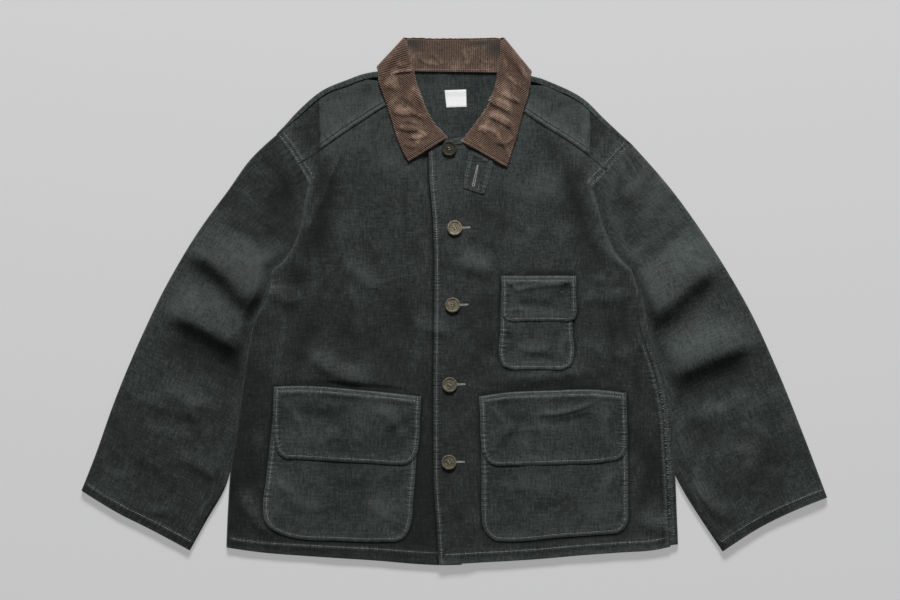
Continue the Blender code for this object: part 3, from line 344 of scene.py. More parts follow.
def sleeve_top(name, x, y):
    """Height of a sleeve's upper face."""
    past = inward(name, x, y)
    set_in = offset_from(ARM_LINE[name], x, y)[0]
    near_arm = np.exp(-(set_in / 40.0)**2) * ease(y, 20, 60)
    free = ease(-past, 2, 18)
    base = SLEEVE_HIGH - 0.2 * (1 - free) + (ARM_HIGH - SLEEVE_HIGH) * near_arm + 1.0 * free
    return np.maximum(base + folds(SLEEVE_FOLDS[name], x, y) * free, 4.2)


def front_top(x, y):
    """Height of the fronts' and yokes' upper face over the back."""
    high = np.maximum(REST + LOFT + folds(BODY_FOLDS, x, y), REST + 0.25)
    for name, sign in SIGN.items():
        here = (np.sign(x) == sign) * 1.0
        past = np.abs(inward(name, x, y))
        crease = offset_from(CREASE[name], x, y)[0]
        arm = np.abs(offset_from(ARM_LINE[name], x, y)[0])
        shoulder = np.abs(offset_from(SHOULDER_LINE[name], x, y)[0])
        high = np.maximum(high, here * (REST + 2.0 * np.exp(-(past / 22.0)**2)) * (1 - ease(y, 30, 60)))
        # The cloth that hangs over the armhole seam is the highest part of the chest.
        above = y > COVER_TOP
        over = ease(y, 0, 46) * (1 - ease(y, 200, 330)) * np.where(above, ease(crease * sign, -6, 4), 1.0)
        reach = np.where(above, np.abs(crease), past)
        set_in = (ARM_HIGH - REST) * ease(y, 120, 170) * (1 - ease(arm, 10, 60))
        at_shoulder = (ARM_HIGH - REST) * ease(np.abs(x), 96, 120) * (1 - ease(shoulder, 8, 46))
        for rise in (6.4 * over * (1 - ease(reach, 16, 74)), set_in, at_shoulder):
            high = np.maximum(high, here * (REST + rise))
    neck = ease(y, 200, 260) * (1 - ease(np.abs(x), 86, 112))
    high = high * (1 - neck) + np.minimum(high, REST + 1.0) * neck
    return high + wedge(x, y) + neck_rise(x, y)


def closure_top(x, y):
    """Height of the left front, which laps over the right one at the buttons."""
    past = x - x_at(BUTTON_LINE, y)
    lap = (LAYER + WALL + 0.15) * (1 - ease(past, OVERLAP + 4, OVERLAP + 30))
    return front_top(x, y) + lap


def round_edge(s, high, low, mid=None):
    """Section of a folded edge at path length s from the start of the turn on the lower layer.

    Gives the plan distance from the edge and the height."""
    mid = (high + low) / 2 if mid is None else mid
    phi = np.clip(s / FOLD, 0, math.pi)
    flat = np.where(s < 0, -s, np.where(s > BEND, s - BEND, 0))
    rise = np.where(phi > math.pi / 2, high - mid, mid - low)
    return FOLD - FOLD * np.sin(phi) + flat, mid - rise * np.cos(phi)


def row_between(bottom, top, left, right, share, low_power=1.0, top_power=1.0):
    """Plan row of a four-sided piece: a chord between its sides that takes on its ends' shape near them."""
    u = np.linspace(0, 1, 81)[:, None]
    b, t = bottom.at(u[:, 0]), top.at(u[:, 0])
    b_shape = b - (1 - u) * b[0] - u * b[-1]
    t_shape = t - (1 - u) * t[0] - u * t[-1]
    return Path((1 - u) * left + u * right + (1 - share)**low_power * b_shape + share**top_power * t_shape)


def stack(xy, z):
    return np.concatenate([xy, np.asarray(z, float)[..., None]], -1)


def fill_heights(rows, height):
    """Rows as one grid, with the heights that aren't set yet read from a function."""
    grid = np.array(rows)
    up = np.isnan(grid[..., 2])
    grid[..., 2][up] = height(grid[..., 0][up], grid[..., 1][up])
    return grid


def arm_lines(name, shift=0.0):
    """The armhole from the shoulder tip down to the body's fold over it, and from the underarm up to it."""
    whole = ARM_LINE[name].points
    run = np.gradient(whole, axis=0)
    toward = np.stack([run[:, 1], -run[:, 0]], 1) * -SIGN[name]
    whole = whole + shift * toward / np.linalg.norm(toward, axis=1)[:, None]
    corner = 5 * LINE_STEPS
    return Path(whole[:corner + 1]), Path(whole[corner:][::-1])


ARMS = {name: arm_lines(name) for name in SIGN}


# ---------------------------------------------------------------- creases
# Finer creases that only show on the upper face.  Columns as in SLEEVE_FOLDS.
FINE_FOLDS = {
    "sleeve_right": [(-281, 183, -262, 178, -244, 165, 5, 0.9), (-270, 200, -240, 168, -228, 128, 5, -1.2),
        (-250, 226, -232, 190, -218, 150, 4, 1.0), (-300, 150, -268, 122, -236, 92, 8, 1.4),
        (-330, 110, -290, 92, -256, 60, 9, -1.3), (-420, -110, -370, -140, -322, -150, 12, 1.5),
        (-440, -170, -400, -186, -352, -190, 11, 1.3), (-400, -130, -372, -172, -348, -214, 7, -1.0),
        (-456, -228, -420, -240, -396, -262, 8, -1.2), (-494, -232, -470, -246, -452, -248, 6, 0.9),
        (-360, -262, -352, -282, -362, -316, 6, 1.2), (-388, -252, -398, -274, -420, -284, 6, -1.0),
        (-345, -226, -336, -262, -348, -300, 5, 1.0), (-300, -150, -312, -190, -316, -232, 7, 1.2)],
    "sleeve_left": [(238, 197, 246, 183, 256, 167, 3.5, -1.1), (244, 207, 256, 184, 270, 158, 4, -1.4),
        (229, 191, 231, 174, 233, 154, 3.5, -1.0), (241, 203, 251, 185, 263, 164, 3.5, 0.9),
        (272, 176, 258, 168, 240, 148, 5, 1.0), (262, 196, 240, 170, 226, 140, 5, -0.5),
        (244, 210, 230, 180, 214, 138, 4, 1.0), (300, 150, 282, 128, 246, 104, 8, 1.4),
        (330, 116, 300, 84, 262, 54, 9, -1.3), (420, -110, 380, -150, 330, -156, 12, 1.5),
        (446, -190, 410, -176, 372, -186, 11, 1.2), (386, -120, 392, -160, 398, -206, 8, -1.1),
        (470, -236, 440, -226, 424, -250, 8, -1.2), (352, -214, 340, -250, 352, -290, 7, 1.4),
        (430, -272, 418, -292, 396, -320, 5, 1.0), (462, -250, 452, -270, 446, -290, 5, -0.9),
        (308, -150, 318, -190, 322, -230, 7, 1.2), (446, -110, 462, -150, 474, -196, 10, 1.0)],
    "body": [(-158, 213, -174, 170, -185, 130, 5, 1.4), (-182, 150, -196, 120, -210, 90, 5, 1.2),
        (-234, 66, -224, 20, -232, -40, 9, -1.2), (-206, 96, -196, 46, -200, -10, 7, 1.1),
        (-236, -30, -244, -80, -246, -130, 8, 1.2), (-244, -150, -252, -210, -248, -262, 8, -1.4),
        (-300, -250, -286, -300, -282, -330, 8, 1.4), (-272, -170, -276, -230, -262, -280, 7, 1.1),
        (-70, 200, -69, 140, -70, 70, 5, -0.7), (-150, 30, -134, -10, -136, -60, 9, 1.0),
        (-86, 20, -66, -26, -62, -80, 9, -0.9), (-46, -20, -50, -70, -60, -116, 8, 0.9),
        (-164, -20, -150, -50, -126, -60, 8, -0.9), (-46, 96, -40, 60, -46, 26, 8, 0.8),
        (68, 176, 67, 130, 69, 60, 5, -0.7), (20, 84, 46, 76, 60, 56, 6, -0.8),
        (-12, 60, 20, 44, 52, 48, 7, 0.9), (206, 34, 226, 26, 240, 24, 6, -1.6),
        (188, 4, 204, -2, 218, -8, 6, -1.5), (196, 18, 218, 12, 244, 6, 6, 1.3),
        (236, 10, 236, -22, 238, -58, 6, -1.2), (222, -26, 222, -62, 224, -104, 6, -1.2),
        (256, 40, 262, -10, 272, -60, 7, 1.3), (200, 84, 222, 60, 236, 46, 6, 1.1),
        (180, 120, 198, 92, 208, 60, 6, 1.0), (262, -60, 256, -110, 266, -150, 7, -1.1),
        (262, -190, 272, -240, 262, -290, 8, -1.3), (284, -300, 296, -318, 304, -330, 7, 1.3),
        (20, -60, 44, -84, 90, -92, 8, 0.9), (10, -20, 30, -50, 30, -100, 8, -1.0),
        (56, -4, 60, -50, 58, -84, 6, 0.9), (186, -130, 240, -128, 262, -140, 5, 0.8),
        (-176, 262, -168, 240, -170, 216, 6, 1.0), (-214, 250, -204, 226, -196, 206, 6, -0.9),
        (-120, 300, -128, 276, -122, 254, 8, -0.9), (120, 292, 128, 268, 122, 250, 8, -0.9),
        (196, 252, 186, 226, 190, 200, 6, 1.0), (226, 232, 214, 208, 206, 190, 6, -0.9)],
    "collar": [(-89, 317, -74, 320, -55, 321.5, 2.4, 1.5), (-82, 333, -74, 329, -64, 331, 4, 0.8),
        (-76, 290, -62, 280, -50, 270, 5, 0.8), (-72, 268, -56, 262, -38, 252, 4, 1.2),
        (-74, 252, -58, 250, -44, 242, 4, 1.1), (-60, 240, -46, 236, -34, 228, 4, 1.0),
        (-72, 224, -60, 216, -44, 226, 4, 0.9), (-98, 306, -86, 301, -74, 299, 9, 1.9),
        (42, 284, 60, 276, 84, 262, 6, 2.6), (44, 262, 58, 256, 84, 242, 6, 2.4),
        (64, 292, 78, 284, 96, 276, 5, 1.6), (-88, 268, -72, 262, -56, 262, 6, 2.0),
        (-80, 246, -62, 240, -48, 244, 6, 2.2), (-66, 230, -50, 228, -36, 234, 5, 1.8),
        (-60, 300, -50, 286, -44, 270, 5, 1.2), (84, 232, 72, 222, 56, 224, 6, 1.6),
        (48, 232, 38, 240, 30, 238, 5, 1.6), (72, 250, 82, 240, 86, 226, 4, 0.9),
        (34, 244, 52, 238, 66, 226, 4, 0.9), (64, 222, 74, 212, 76, 200, 4, 0.9),
        (88, 334, 96, 318, 104, 308, 4, 0.8), (70, 316, 84, 306, 98, 296, 4, 0.8),
        (-52, 343, -38, 333, -18, 331, 4, 1.0), (-34, 348, -22, 338, -12, 326, 3.5, 0.8),
        (10, 352, 18, 340, 14, 328, 6, 0.6), (34, 344, 46, 334, 58, 332, 5, 0.7)],
    "patches": [(76, 13, 116, 20, 158, 22, 5, 1.2), (80, -10, 110, -4, 150, -12, 6, -1.0),
        (70, 27, 84, 20, 92, 8, 4, 1.1), (166, 26, 152, 14, 148, -2, 5, -1.1),
        (70, -20, 88, -12, 104, -16, 4, 1.0), (84, -60, 110, -70, 140, -62, 8, 1.2),
        (70, -44, 80, -60, 78, -78, 5, -0.9), (162, -50, 150, -66, 156, -84, 5, 1.0),
        (90, -84, 118, -78, 146, -86, 5, -0.9), (-120, -150, -92, -162, -70, -196, 8, 1.1),
        (-100, -204, -82, -180, -60, -168, 6, -1.0), (-244, -140, -226, -156, -212, -180, 6, 1.0),
        (-230, -150, -190, -160, -150, -158, 8, -0.8), (-200, -200, -160, -190, -120, -204, 9, 0.9),
        (-240, -262, -200, -290, -170, -284, 12, 1.0), (-120, -270, -100, -300, -80, -306, 10, 1.0),
        (-180, -250, -150, -262, -110, -256, 9, -0.8), (-250, -246, -240, -262, -220, -270, 6, 0.9),
        (110, -160, 152, -157, 206, -138, 4, 1.5), (120, -170, 160, -168, 196, -156, 5, -1.0),
        (50, -150, 62, -160, 70, -176, 4, 1.0), (56, -214, 72, -198, 90, -176, 6, -1.2),
        (60, -186, 100, -178, 140, -186, 8, 0.8), (222, -150, 212, -170, 216, -196, 6, 1.0),
        (90, -270, 130, -290, 190, -280, 12, -0.9), (60, -250, 84, -262, 112, -256, 8, 0.9),
        (232, -240, 214, -256, 206, -284, 7, 1.0)]}
CLOTH_NOISE = {"sleeve_right": 3.0, "sleeve_left": 11.0, "body": 23.0, "patches": 31.0, "collar": 41.0}
PATCH_RUMPLE = 1.25


def rumples(kind, x, y):
    """Small creases and soft unevenness of worn cloth, in mm."""
    total = folds(FINE_FOLDS[kind], x, y)
    drift = CLOTH_NOISE[kind]
    flat = np.empty(np.shape(x))
    for place in np.ndindex(flat.shape):
        spot = Vector((x[place] / 46.0, y[place] / 46.0, drift))
        small = Vector((x[place] / 15.0, y[place] / 15.0, drift + 5.0))
        flat[place] = 0.75 * noise.noise(spot) + 0.26 * noise.noise(small)
    return total + flat


def pucker(lines, x, y, pitch=9.0, deep=0.45, reach=9.0):
    """Short ridges across a seam, where its stitching draws the cloth together, and a groove along it."""
    total = np.zeros(np.shape(x))
    for number, line in enumerate(lines):
        here = close_to(line, x, y, 2.6 * reach)
        away, place = offset_from(line, x[here], y[here])
        near = np.exp(-(away / reach)**2) * (0.55 + 0.45 * np.sin(place / 47.0 + 2.0 * number))
        beat = place / pitch + 0.35 * np.sin(place / 31.0 + number) + 0.2 * np.sin(place / 13.0)
        ridge = near * deep * np.maximum(np.sin(2 * math.pi * beat), -0.3)
        total[here] = np.maximum(total[here], ridge) - 0.3 * np.exp(-(away / 1.1)**2)
    return total


# ---------------------------------------------------------------- making a sheet of cloth
def clear_selection():
    bpy.ops.object.select_all(action="DESELECT")


def thin_inner_side(piece, inner):
    """Leaves out every second row and column of points inside the side that doesn't show."""
    mesh = piece.data
    rows, columns = inner.shape
    row, column = np.indices(inner.shape)
    odd_row, odd_column = row % 2 == 1, column % 2 == 1
    steps = np.zeros(len(mesh.vertices), np.int32)
    steps[inner[odd_row & odd_column & (row < rows - 1) & (column < columns - 1)]] = 1
    steps[inner[odd_row & ~odd_column & (row < rows - 1) & (column > 0) & (column < columns - 2)]] = 2
    steps[inner[~odd_row & odd_column & (column < columns - 1) & (row > 0) & (row < rows - 2)]] = 2
    mesh.attributes.new("thinned", "INT", "POINT").data.foreach_set("value", steps)
    for step in (1, 2):
        bpy.ops.object.mode_set(mode="EDIT")
        bpy.ops.mesh.select_mode(type="VERT")
        bpy.ops.mesh.select_all(action="DESELECT")
        bpy.ops.object.mode_set(mode="OBJECT")
        left = np.empty(len(mesh.vertices), np.int32)
        mesh.attributes["thinned"].data.foreach_get("value", left)
        mesh.vertices.foreach_set("select", left == step)
        bpy.ops.object.mode_set(mode="EDIT")
        bpy.ops.mesh.dissolve_verts()
        bpy.ops.object.mode_set(mode="OBJECT")
    mesh.attributes.remove(mesh.attributes["thinned"])


def cloth_sheet(name, points, flat, thick, look, marks):
    """A grid primitive whose points are moved to where the cloth lies, and given its thickness.

    points is rows x columns x 3 in mm, flat the same places on the cut piece in mm, and marks named values
    from 0 to 1 at every point, which the finishes read."""
    rows, columns = points.shape[:2]
    clear_selection()
    bpy.ops.mesh.primitive_grid_add(x_subdivisions=columns - 1, y_subdivisions=rows - 1, size=1,
                                    calc_uvs=True)
    piece = bpy.context.active_object
    piece.name = name
    mesh = piece.data
    mesh.name = name
    count = rows * columns
    start = np.empty(count * 3)
    mesh.vertices.foreach_get("co", start)
    start = start.reshape(-1, 3).round(5)
    order = np.lexsort((start[:, 0], start[:, 1]))
    moved = np.empty((count, 3))
    moved[order] = points.reshape(-1, 3) * MM
    mesh.vertices.foreach_set("co", moved.ravel())
    place = np.empty((count, 2))
    place[order] = flat.reshape(-1, 2) * MM
    corners = np.empty(len(mesh.loops), np.int32)
    mesh.loops.foreach_get("vertex_index", corners)
    mesh.uv_layers[0].data.foreach_set("uv", place[corners].ravel())
    for mark, values in marks.items():
        layer = mesh.attributes.new(mark, "FLOAT", "POINT")
        ordered = np.empty(count)
        ordered[order] = np.broadcast_to(values, (rows, columns)).ravel()
        layer.data.foreach_set("value", ordered)
    mesh.update()
    mesh.materials.append(look)
    wall = piece.modifiers.new("cloth", "SOLIDIFY")
    wall.thickness = thick * MM
    wall.offset = -1.0
    bpy.ops.object.modifier_apply(modifier="cloth")
    if count > FINE_POINTS:
        thin_inner_side(piece, order.reshape(rows, columns) + (count if thick > 0 else 0))
    bpy.ops.object.shade_smooth_by_angle(angle=math.radians(50))
    return piece


def finish_piece(piece, node):
    """Puts a piece in the place of its solid."""
    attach(piece, "root")
    if node in nodes:
        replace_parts(piece, node)


LEAST_AREA = 0.31        # least share of its flat rectangle that a sheet is declared to fill


def lay_cloth(points):
    across = np.linalg.norm(np.diff(points, axis=1), axis=2).sum(1)
    along = np.linalg.norm(np.diff(points, axis=0), axis=2).sum(0)
    cross = np.cross(points[1:, 1:] - points[:-1, :-1], points[1:, :-1] - points[:-1, 1:])
    area = np.linalg.norm(cross, axis=2).sum() / 2 * MM * MM
    width, length = across.max() * MM, along.max() * MM
    area = round(max(area, LEAST_AREA * width * length), 5)


def face_reader(*pieces):
    """Reads the height in mm and the upward normal of the highest of the pieces at a place."""
    trees = []
    for piece in pieces:
        mesh = piece.data
        faces = [p.vertices[:] for p in mesh.polygons]
        trees.append(BVHTree.FromPolygons([v.co / MM for v in mesh.vertices], faces))

    def read(x, y):
        best, way = None, Vector((0, 0, 1))
        for tree in trees:
            hit, normal = tree.ray_cast(Vector((x, y, 80.0)), Vector((0, 0, -1)))[:2]
            if hit is not None and (best is None or hit.z > best):
                best, way = hit.z, normal
        return best, way

    return read


def heights(read, plan):
    flat = [read(x, y)[0] for x, y in plan.reshape(-1, 2)]
    return np.array([0.0 if z is None else z for z in flat]).reshape(plan.shape[:-1])


def spread(start, end, step):
    """Even places from start to end, about a step apart."""
    count = max(1, int(round(abs(end - start) / step)))
    return np.array([start + (end - start) * k / count for k in range(count + 1)])


# ---------------------------------------------------------------- sleeves
EDGE_POINTS = 8


def make_sleeve(name):
    """One piece of cloth, from its seam round under the arm, over the outer fold and back to the seam."""
    seen, hidden = arm_lines(name, 3 * SEAM)
    bottom, out = Line(CUFF_LINE[name]), Line(SLEEVE_OUT[name])
    shares = np.concatenate([[0.0004, 0.0012, 0.011, 0.0215, 0.0245], spread(0.03, UNDERARM, 0.0046),
                             UNDERARM + (1 - UNDERARM) * spread(0.0, 1.0, 0.034)[1:]])
    turn, steps = spread(0.0, BEND, 1.1), np.linspace(1, 0, EDGE_POINTS)
    low_shares, high_shares = np.linspace(1, 0, 16), spread(0.0, 1.0, 0.0112)[1:-1]
    rows = []
    for w in shares:
        closed = w <= UNDERARM
        right = IN_LINE[name].at(w / UNDERARM) if closed else hidden.at((w - UNDERARM) / (1 - UNDERARM))
        row = row_between(bottom, seen, out.at(w), right, w)
        seam = BEND / 2 + (BEND / 2 + 5.0) * (1 - ease(w, UNDERARM - 0.17, UNDERARM - 0.02))
        edge_height = float(sleeve_top(name, *row.before_end(FOLD)))
        if closed:
            first, first_z = round_edge((seam - SEAM) * steps, edge_height, 0.0)
            far = max(BEND, seam + SEAM + 2.0) + 2.0
            s = far + (seam + SEAM - far) * np.linspace(0, 1, EDGE_POINTS)
            last, last_z = round_edge(s, edge_height, 0.0)
        else:
            first, first_z = 12.0 * (1 - steps), np.zeros(EDGE_POINTS)
            last, last_z = np.linspace(2.0, 0, EDGE_POINTS), np.full(EDGE_POINTS, np.nan)
        low = 13.0 + (row.length - first[-1] - 1.0 - 13.0) * low_shares
        high = FOLD + (row.length - last[0] - 0.4 - FOLD) * high_shares
        fold, fold_z = round_edge(turn, float(sleeve_top(name, *row.along(FOLD))), 0.0)
        parts = ((row.before_end(first), first_z), (row.along(low), np.zeros(len(low))),
                 (row.along(fold), fold_z), (row.along(high), np.full(len(high), np.nan)),
                 (row.before_end(last), last_z))
        rows.append(np.concatenate([stack(place, z) for place, z in parts]))
    grid = fill_heights(rows, lambda x, y: sleeve_top(name, x, y))
    run = np.linalg.norm(np.diff(grid, axis=1), axis=2)
    across = np.concatenate([np.zeros((len(grid), 1)), np.cumsum(run, axis=1)], 1)
    middle = across.shape[1] // 2
    across = across - across[:, middle:middle + 1]
    along = shares[:, None] * out.length + np.zeros_like(across)
    hem = 1 - ease(shares, 0.0218, 0.0242)
    grid[..., 2] += TURN * hem[:, None] * (grid[..., 2] > 2.5)
    return grid, np.stack([across, along], -1)


# ---------------------------------------------------------------- back
BACK_HEM, BACK_TOP = Line(HEM_BACK), joined(SHOULDER["right"], NECK_BACK, SHOULDER["left"][::-1])


def side_seam(y):
    """Path length round the left edge to the side seam: at the edge under the arm, further in below."""
    return BEND / 2 + (BEND / 2 + SIDE_IN) * (1 - ease(y, -30, 34))


def back_place(share, down):
    """Place at a share of the way across the back, in its row this far down from the top."""
    left, right = [ARMS[side][0].along(down) for side in SIGN]
    return row_between(BACK_HEM, BACK_TOP, left, right, 1.0 - down / BACK_LENGTH, 2.0, 5.0).at(share)


def make_back():
    """The back panel, from its hem up, with the part that is turned forward over the shoulders."""
    plan = [("side", f) for f in np.concatenate([[0.002, 0.03], spread(0.045, 0.99, 0.021)])]
    plan += [("arm", f) for f in spread(0.02, 1.0, 0.07)]
    plan += [("seen", f) for f in spread(0.94, 0.14, 0.055)]
    inner = np.concatenate([spread(0.0, 0.12, 0.01), spread(0.12, 0.88, 0.0125)[1:],
                            spread(0.88, 1.0, 0.01)[1:]])
    left_steps, right_steps = np.linspace(1, 0, 7), np.linspace(0, 1, 12)
    rows = []
    for kind, f in plan:
        if kind == "side":
            (left, right), up = [SIDE_LINE[side].at(f) for side in SIGN], f * 390.0
        else:
            left, right = [ARMS[side][kind == "arm"].at(f) for side in SIGN]
            up = 390.0 + 105.0 * f if kind == "arm" else 645.0 - 150.0 * f
        row = row_between(BACK_HEM, BACK_TOP, left, right, up / BACK_LENGTH, 2.0, 5.0)
        ends = []
        for read, steps, last in ((row.along, left_steps, BEND / 2),
                                  (row.before_end, right_steps, float(side_seam(right[1])))):
            near = read(FOLD)
            base = float(back_low(*near))
            do, zo = 12.0 * (1 - steps), np.full(len(steps), base)
            if kind == "side":
                do, zo = round_edge((last - SEAM) * steps, float(front_top(*near)), base)
            ends.append(stack(read(do), zo))
        p = row.along(14 + (row.length - 28) * inner)
        rows.append(np.concatenate([ends[0], stack(p, back_low(p[:, 0], p[:, 1])), ends[1]]))
    length = BACK_TOP.length
    stops = np.concatenate([12.0 * (1 - left_steps), 14 + (length - 28) * inner,
                            length - 12.0 * (1 - right_steps)])
    x, y = BACK_TOP.along(stops).T
    shoulder = ease(np.abs(x), 84, 101)
    end = (BEND + SHOULDER_IN - TIP_IN * ease(np.abs(x), 215, 250) - SEAM) * shoulder - 0.4 * (1 - shoulder)
    base, crest = back_low(x, y - FOLD), front_top(x, y - FOLD)
    for f in np.linspace(0.0, 1.0, 15):
        do, zo = round_edge(-9.0 + (end + 9.0) * f, crest, base)
        do = do * (0.55 + 0.45 * shoulder)
        rows.append(stack(np.array([back_place(stop / length, d) for stop, d in zip(stops, do)]), zo))
    grid = np.array(rows)
    return grid, grid[..., :2].copy()


# ---------------------------------------------------------------- yokes and fronts
def shoulder_seam(name):
    """Where the back, turned forward over the shoulder, meets the yoke: from the armhole to the neck."""
    points = []
    for place in (0.0, 12.0, 24.0, 58.0, 94.0, 128.0, 148.0):
        share = place / BACK_TOP.length if name == "right" else 1 - place / BACK_TOP.length
        down = FOLD + SHOULDER_IN - TIP_IN * float(ease(abs(BACK_TOP.at(share)[0]), 215, 250)) + 4 * SEAM
        x, y = back_place(share, down)
        points.append((x, y + 4.0 * (1 - float(ease(abs(x), 104, 140)))))
    return points


def make_yoke(name):
    low = np.array(YOKE_SEAM[name], float)[::-1] + np.array([0, 3 * SEAM])
    top, arm, bottom = Line(shoulder_seam(name)), ARMS[name][0], Line(low)
    tip, corner = FOLD + SHOULDER_IN - TIP_IN + 2 * SEAM, arm.marks[2 * LINE_STEPS] - 3 * SEAM
    neck = Line([low[-1], NECK_SIDE[name][1], top.points[-1]])
    up = spread(0.0, 1.0, 0.02)
    rows = [row_between(bottom, top, arm.along(corner + (tip - corner) * f), neck.at(f), f) for f in up]
    plan = np.array([row.at(np.linspace(0, 1, 100)) for row in rows])
    z = front_top(plan[..., 0], plan[..., 1])
    lap = 0.5 * (1 - ease(up, 0.13, 0.17))
    tucked = 0.6 * ease(up, 0.9, 0.97)[:, None] * (1 - ease(np.abs(plan[..., 0]), 112, 140))
    return stack(plan, z + lap[:, None] - tucked), plan.copy()


def make_front(name):
    """A front panel below its yoke, with the edge that is folded over the sleeve."""
    right_side = name == "right"
    yoke = [(x, y - 1.5 * SEAM) for x, y in YOKE_SEAM[name]]
    if right_side:
        hem, top, height = Line(HEM_RIGHT), joined(yoke[::-1], NECK_RIGHT), front_top
        inner_edge = Line([(x + OVERLAP, y) for x, y in BUTTON_EDGE[:-1]] + NECK_RIGHT[-1:])
        across = np.linspace(0, 1, 140)
    else:
        hem, top, height, inner_edge = Line(HEM_LEFT), joined(NECK_LEFT, yoke), closure_top, BUTTON_LINE
        across = np.concatenate([np.linspace(0, 0.985, 140), [0.992, 0.997, 1.0]])
    fold, arm = Line(FOLD_EDGE[name]), ARMS[name][0]
    from_arm, to_arm = arm.marks[3 * LINE_STEPS], arm.marks[2 * LINE_STEPS]
    hem_shares = [0.0006, 0.004, 0.016, 0.0305, 0.0335, 0.037]
    side_shares = np.concatenate([hem_shares, spread(0.045, 0.99, 0.0058)])
    plan = [("side", f) for f in side_shares] + [("fold", f) for f in spread(0.01, 0.97, 0.016)]
    plan += [("arm", f) for f in spread(0.05, 1.0, 0.08)]
    rows, steps = [], np.linspace(0, 1, 9)
    for kind, f in plan:
        if kind == "side":
            edge_point, v = SIDE_LINE[name].at(f), f * SIDE_SHARE
        elif kind == "fold":
            edge_point, v = fold.at(f), SIDE_SHARE + 0.26 * f
        else:
            edge_point, v = arm.along(from_arm + (to_arm - from_arm) * f), 0.92 + 0.08 * f
        ends = (edge_point, inner_edge.at(v))
        row = row_between(hem, top, *(ends if right_side else ends[::-1]), v, 2.0, 4.0)
        read = row.along if right_side else row.before_end
        near = read(FOLD)
        crest = float(height(*near))
        start = BEND / 2 + SEAM
        if not right_side and kind == "side":
            start = float(side_seam(edge_point[1])) + SEAM
        s = start + (max(BEND, start + 3.0) - start) * steps
        if kind == "side":
            do, zo = round_edge(s, crest, float(back_low(*near)))
        elif kind == "fold":
            rest = float(sleeve_top(name, *edge_point)) + 0.45
            do, zo = round_edge(s, crest, rest, rest)
        else:
            do = steps * 4.0
            x, y = read(do).T
            high = height(x, y)
            down = np.minimum(high, sleeve_top(name, x, y) + 0.5)
            zo = high + (down - high) * (1 - steps) * (1 - float(ease(f, 0.1, 0.8)))
        first = do[-1] + 1.5
        p = read(first + (row.length - first) * across)
        rows.append(np.concatenate([stack(read(do), zo), stack(p, np.full(len(p), np.nan))]))
    grid = fill_heights(rows, height)
    side_rows = grid[:len(side_shares), :, 2]
    hem_rise = TURN * (1 - ease(side_shares, (HEM - 0.8) / SIDE_LENGTH, (HEM + 1.0) / SIDE_LENGTH))
    side_rows += hem_rise[:, None] * (side_rows > side_rows[:, 9:10] - 2.0)
    return grid, grid[..., :2].copy()


# ---------------------------------------------------------------- finishes
class Wire:
    """A shader socket; arithmetic on it adds the Math nodes."""

    def __init__(self, finish, socket):
        self.finish, self.socket = finish, socket

    def _math(self, operation, first, second):
        return self.finish.add("ShaderNodeMath", {"operation": operation}, {0: first, 1: second})(0)

    def __add__(self, other):
        return self._math("ADD", self, other)

    def __radd__(self, other):
        return self._math("ADD", other, self)

    def __sub__(self, other):
        return self._math("SUBTRACT", self, other)

    def __rsub__(self, other):
        return self._math("SUBTRACT", other, self)

    def __mul__(self, other):
        return self._math("MULTIPLY", self, other)

    def __rmul__(self, other):
        return self._math("MULTIPLY", other, self)

class Finish:
    """A material on a Principled shader, built node by node."""

    def __init__(self, name, roughness, specular, sheen=0.0):
        self.material = bpy.data.materials.new(name)
        self.material.use_nodes = True
        self.tree = self.material.node_tree
        self.shader = self.tree.nodes["Principled BSDF"]
        self.shader.inputs["Roughness"].default_value = roughness
        self.shader.inputs["Specular IOR Level"].default_value = specular
        self.shader.inputs["Sheen Weight"].default_value = sheen
        self.shader.inputs["Sheen Roughness"].default_value = 0.45

    def put(self, socket, value):
        if isinstance(value, Wire):
            self.tree.links.new(value.socket, socket)
        elif isinstance(value, (tuple, list)) and len(value) == 3 and socket.type == "RGBA":
            socket.default_value = (*value, 1.0)
        else:
            socket.default_value = value

    def add(self, kind, settings=None, sockets=None):
        node = self.tree.nodes.new(kind)
        for name, value in (settings or {}).items():
            if name == "stops":
                ramp = node.color_ramp
                while len(ramp.elements) < len(value):
                    ramp.elements.new(0.5)
                for element, (place, shade) in zip(ramp.elements, value):
                    element.position = place
                    element.color = (shade, shade, shade, 1.0)
            else:
                setattr(node, name, value)
        for name, value in (sockets or {}).items():
            self.put(node.inputs[name], value)
        return lambda name: Wire(self, node.outputs[name])

    def shade(self, **sockets):
        for name, value in sockets.items():
            self.put(self.shader.inputs[name.replace("_", " ")], value)
        return self.material

    def noise(self, place, scale, detail, roughness):
        return self.add("ShaderNodeTexNoise", {"normalize": True},
                        {"Vector": place, "Scale": scale, "Detail": detail, "Roughness": roughness})("Fac")

    def ramp(self, value, *stops):
        return self.add("ShaderNodeValToRGB", {"stops": stops}, {"Fac": value})("Color")

    def blend(self, factor, first, second):
        return self.add("ShaderNodeMix", {"data_type": "RGBA"}, {0: factor, 6: first, 7: second})(2)

    def between(self, value, low, high, at_low, at_high):
        return self.add("ShaderNodeMapRange", {"interpolation_type": "SMOOTHSTEP"},
                        {"Value": value, "From Min": low, "From Max": high,
                         "To Min": at_low, "To Max": at_high})("Result")

    def mark(self, name):
        return self.add("ShaderNodeAttribute", {"attribute_name": name})("Fac")

    def stretched(self, place, x, y):
        return self.add("ShaderNodeMapping", {}, {"Vector": place, "Scale": (x, y, 1.0)})("Vector")

    def bump(self, height, distance):
        sockets = {"Height": height, "Distance": distance, "Strength": 1.0}
        return self.add("ShaderNodeBump", {}, sockets)("Normal")


